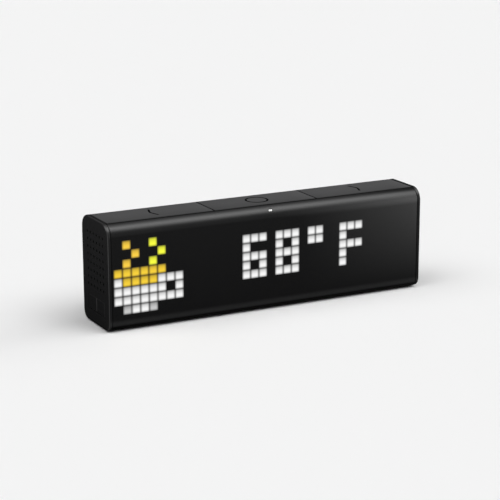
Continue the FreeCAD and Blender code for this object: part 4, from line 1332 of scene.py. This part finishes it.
def surroundings(scene, stage):
    """Even surroundings: one brightness to the camera, to gloss and through glass, and another as light."""
    scene.world = bpy.data.worlds.new("surroundings")
    scene.world.use_nodes = True
    nodes = Nodes(scene.world.node_tree)
    rays = nodes.add("LightPath", "Is Camera Ray").node.outputs
    seen = nodes.calc("MAXIMUM", rays["Is Camera Ray"], rays["Is Glossy Ray"])
    seen = nodes.calc("MAXIMUM", seen, rays["Is Transmission Ray"])
    background = nodes.tree.nodes["Background"]
    background.inputs["Color"].default_value = (1, 1, 1, 1)
    brightness = nodes.times_plus(seen, stage.backdrop - stage.sky, stage.sky)
    nodes.feed(brightness, background.inputs["Strength"])


def towards(turn, rise):
    """The way to what stands at turn, from the front towards the right end, and at rise, from the table."""
    return Vector((math.sin(turn) * math.cos(rise), -math.cos(turn) * math.cos(rise), math.sin(rise)))


def lamp(name, turn, rise, spread, energy):
    """A far, broad lamp that shines on the clock from turn and rise."""
    data = bpy.data.lights.new(name, "SUN")
    data.energy = energy
    data.angle = spread
    linked(name, data).rotation_euler = towards(turn, rise).to_track_quat("Z", "Y").to_euler()


def camera(stage):
    """The camera: on a sphere about the point it looks at, at the photograph's turn and rise."""
    back = towards(stage.camera_turn, stage.camera_rise)
    right = (-back).cross(Vector((0, 0, 1))).normalized()
    up = right.cross(-back)
    data = bpy.data.cameras.new("camera")
    data.sensor_width = SENSOR_WIDTH
    data.lens = LENS_WIDTHS * SENSOR_WIDTH
    data.clip_start = 0.01
    data.clip_end = 100.0
    viewer = linked("camera", data)
    turned = Matrix((right, up, back)).transposed() @ Matrix.Rotation(CAMERA_ROLL, 3, "Z")
    viewer.matrix_world = Matrix.Translation(CAMERA_AIM + back * stage.camera_distance) @ turned.to_4x4()
    return viewer


class CLOCK_PT_panel(bpy.types.Panel):
    """Lists the clock's sizes, colours and builders"""
    bl_idname = "CLOCK_PT_panel"
    bl_label = "Pixel clock"
    bl_space_type = "VIEW_3D"
    bl_region_type = "UI"
    bl_category = "Pixel clock"

    def draw(self, context):
        clock = context.scene.pixel_clock
        for label, group in (("Case", clock.case), ("Plates", clock.plates), ("End caps", clock.caps),
                             ("Readout", clock.readout), ("Colours", clock.colours), ("Stage", clock.stage)):
            box = self.layout.box()
            box.label(text=label)
            for name in group.__annotations__:
                box.prop(group, name)
        for operator in OPERATORS:
            self.layout.operator(operator.bl_idname)


class ClockSettings(bpy.types.PropertyGroup):
    case: PointerProperty(type=CaseSizes, name="Case", description="Sizes of the case")
    plates: PointerProperty(type=PlateSizes, name="Plates", description="Sizes of the press plates")
    caps: PointerProperty(type=CapSizes, name="Caps", description="Sizes of the end caps and side keys")
    readout: PointerProperty(type=ReadoutSizes, name="Readout", description="Sizes of the display")
    colours: PointerProperty(type=FinishColours, name="Colours", description="Colours of the finishes")
    stage: PointerProperty(type=StageSettings, name="Stage", description="Lamps and camera")


GROUPS = (CaseSizes, PlateSizes, CapSizes, ReadoutSizes, FinishColours, StageSettings, ClockSettings)
OPERATORS = (CLOCK_OT_front_shell, CLOCK_OT_rear_housing, CLOCK_OT_end_caps, CLOCK_OT_press_plates,
             CLOCK_OT_side_keys, CLOCK_OT_sensor_window, CLOCK_OT_readout, CLOCK_OT_socket,
             CLOCK_OT_inner_finishes, CLOCK_OT_stage)


def register():
    for item in GROUPS + OPERATORS + (CLOCK_PT_panel,):
        bpy.utils.register_class(item)
    bpy.types.Scene.pixel_clock = PointerProperty(type=ClockSettings)


def unregister():
    del bpy.types.Scene.pixel_clock
    for item in reversed(GROUPS + OPERATORS + (CLOCK_PT_panel,)):
        bpy.utils.unregister_class(item)


def main():
    register()
    for operator in OPERATORS:
        group, name = operator.bl_idname.split(".")
        getattr(getattr(bpy.ops, group), name)()


if __name__ == "__main__":
    main()
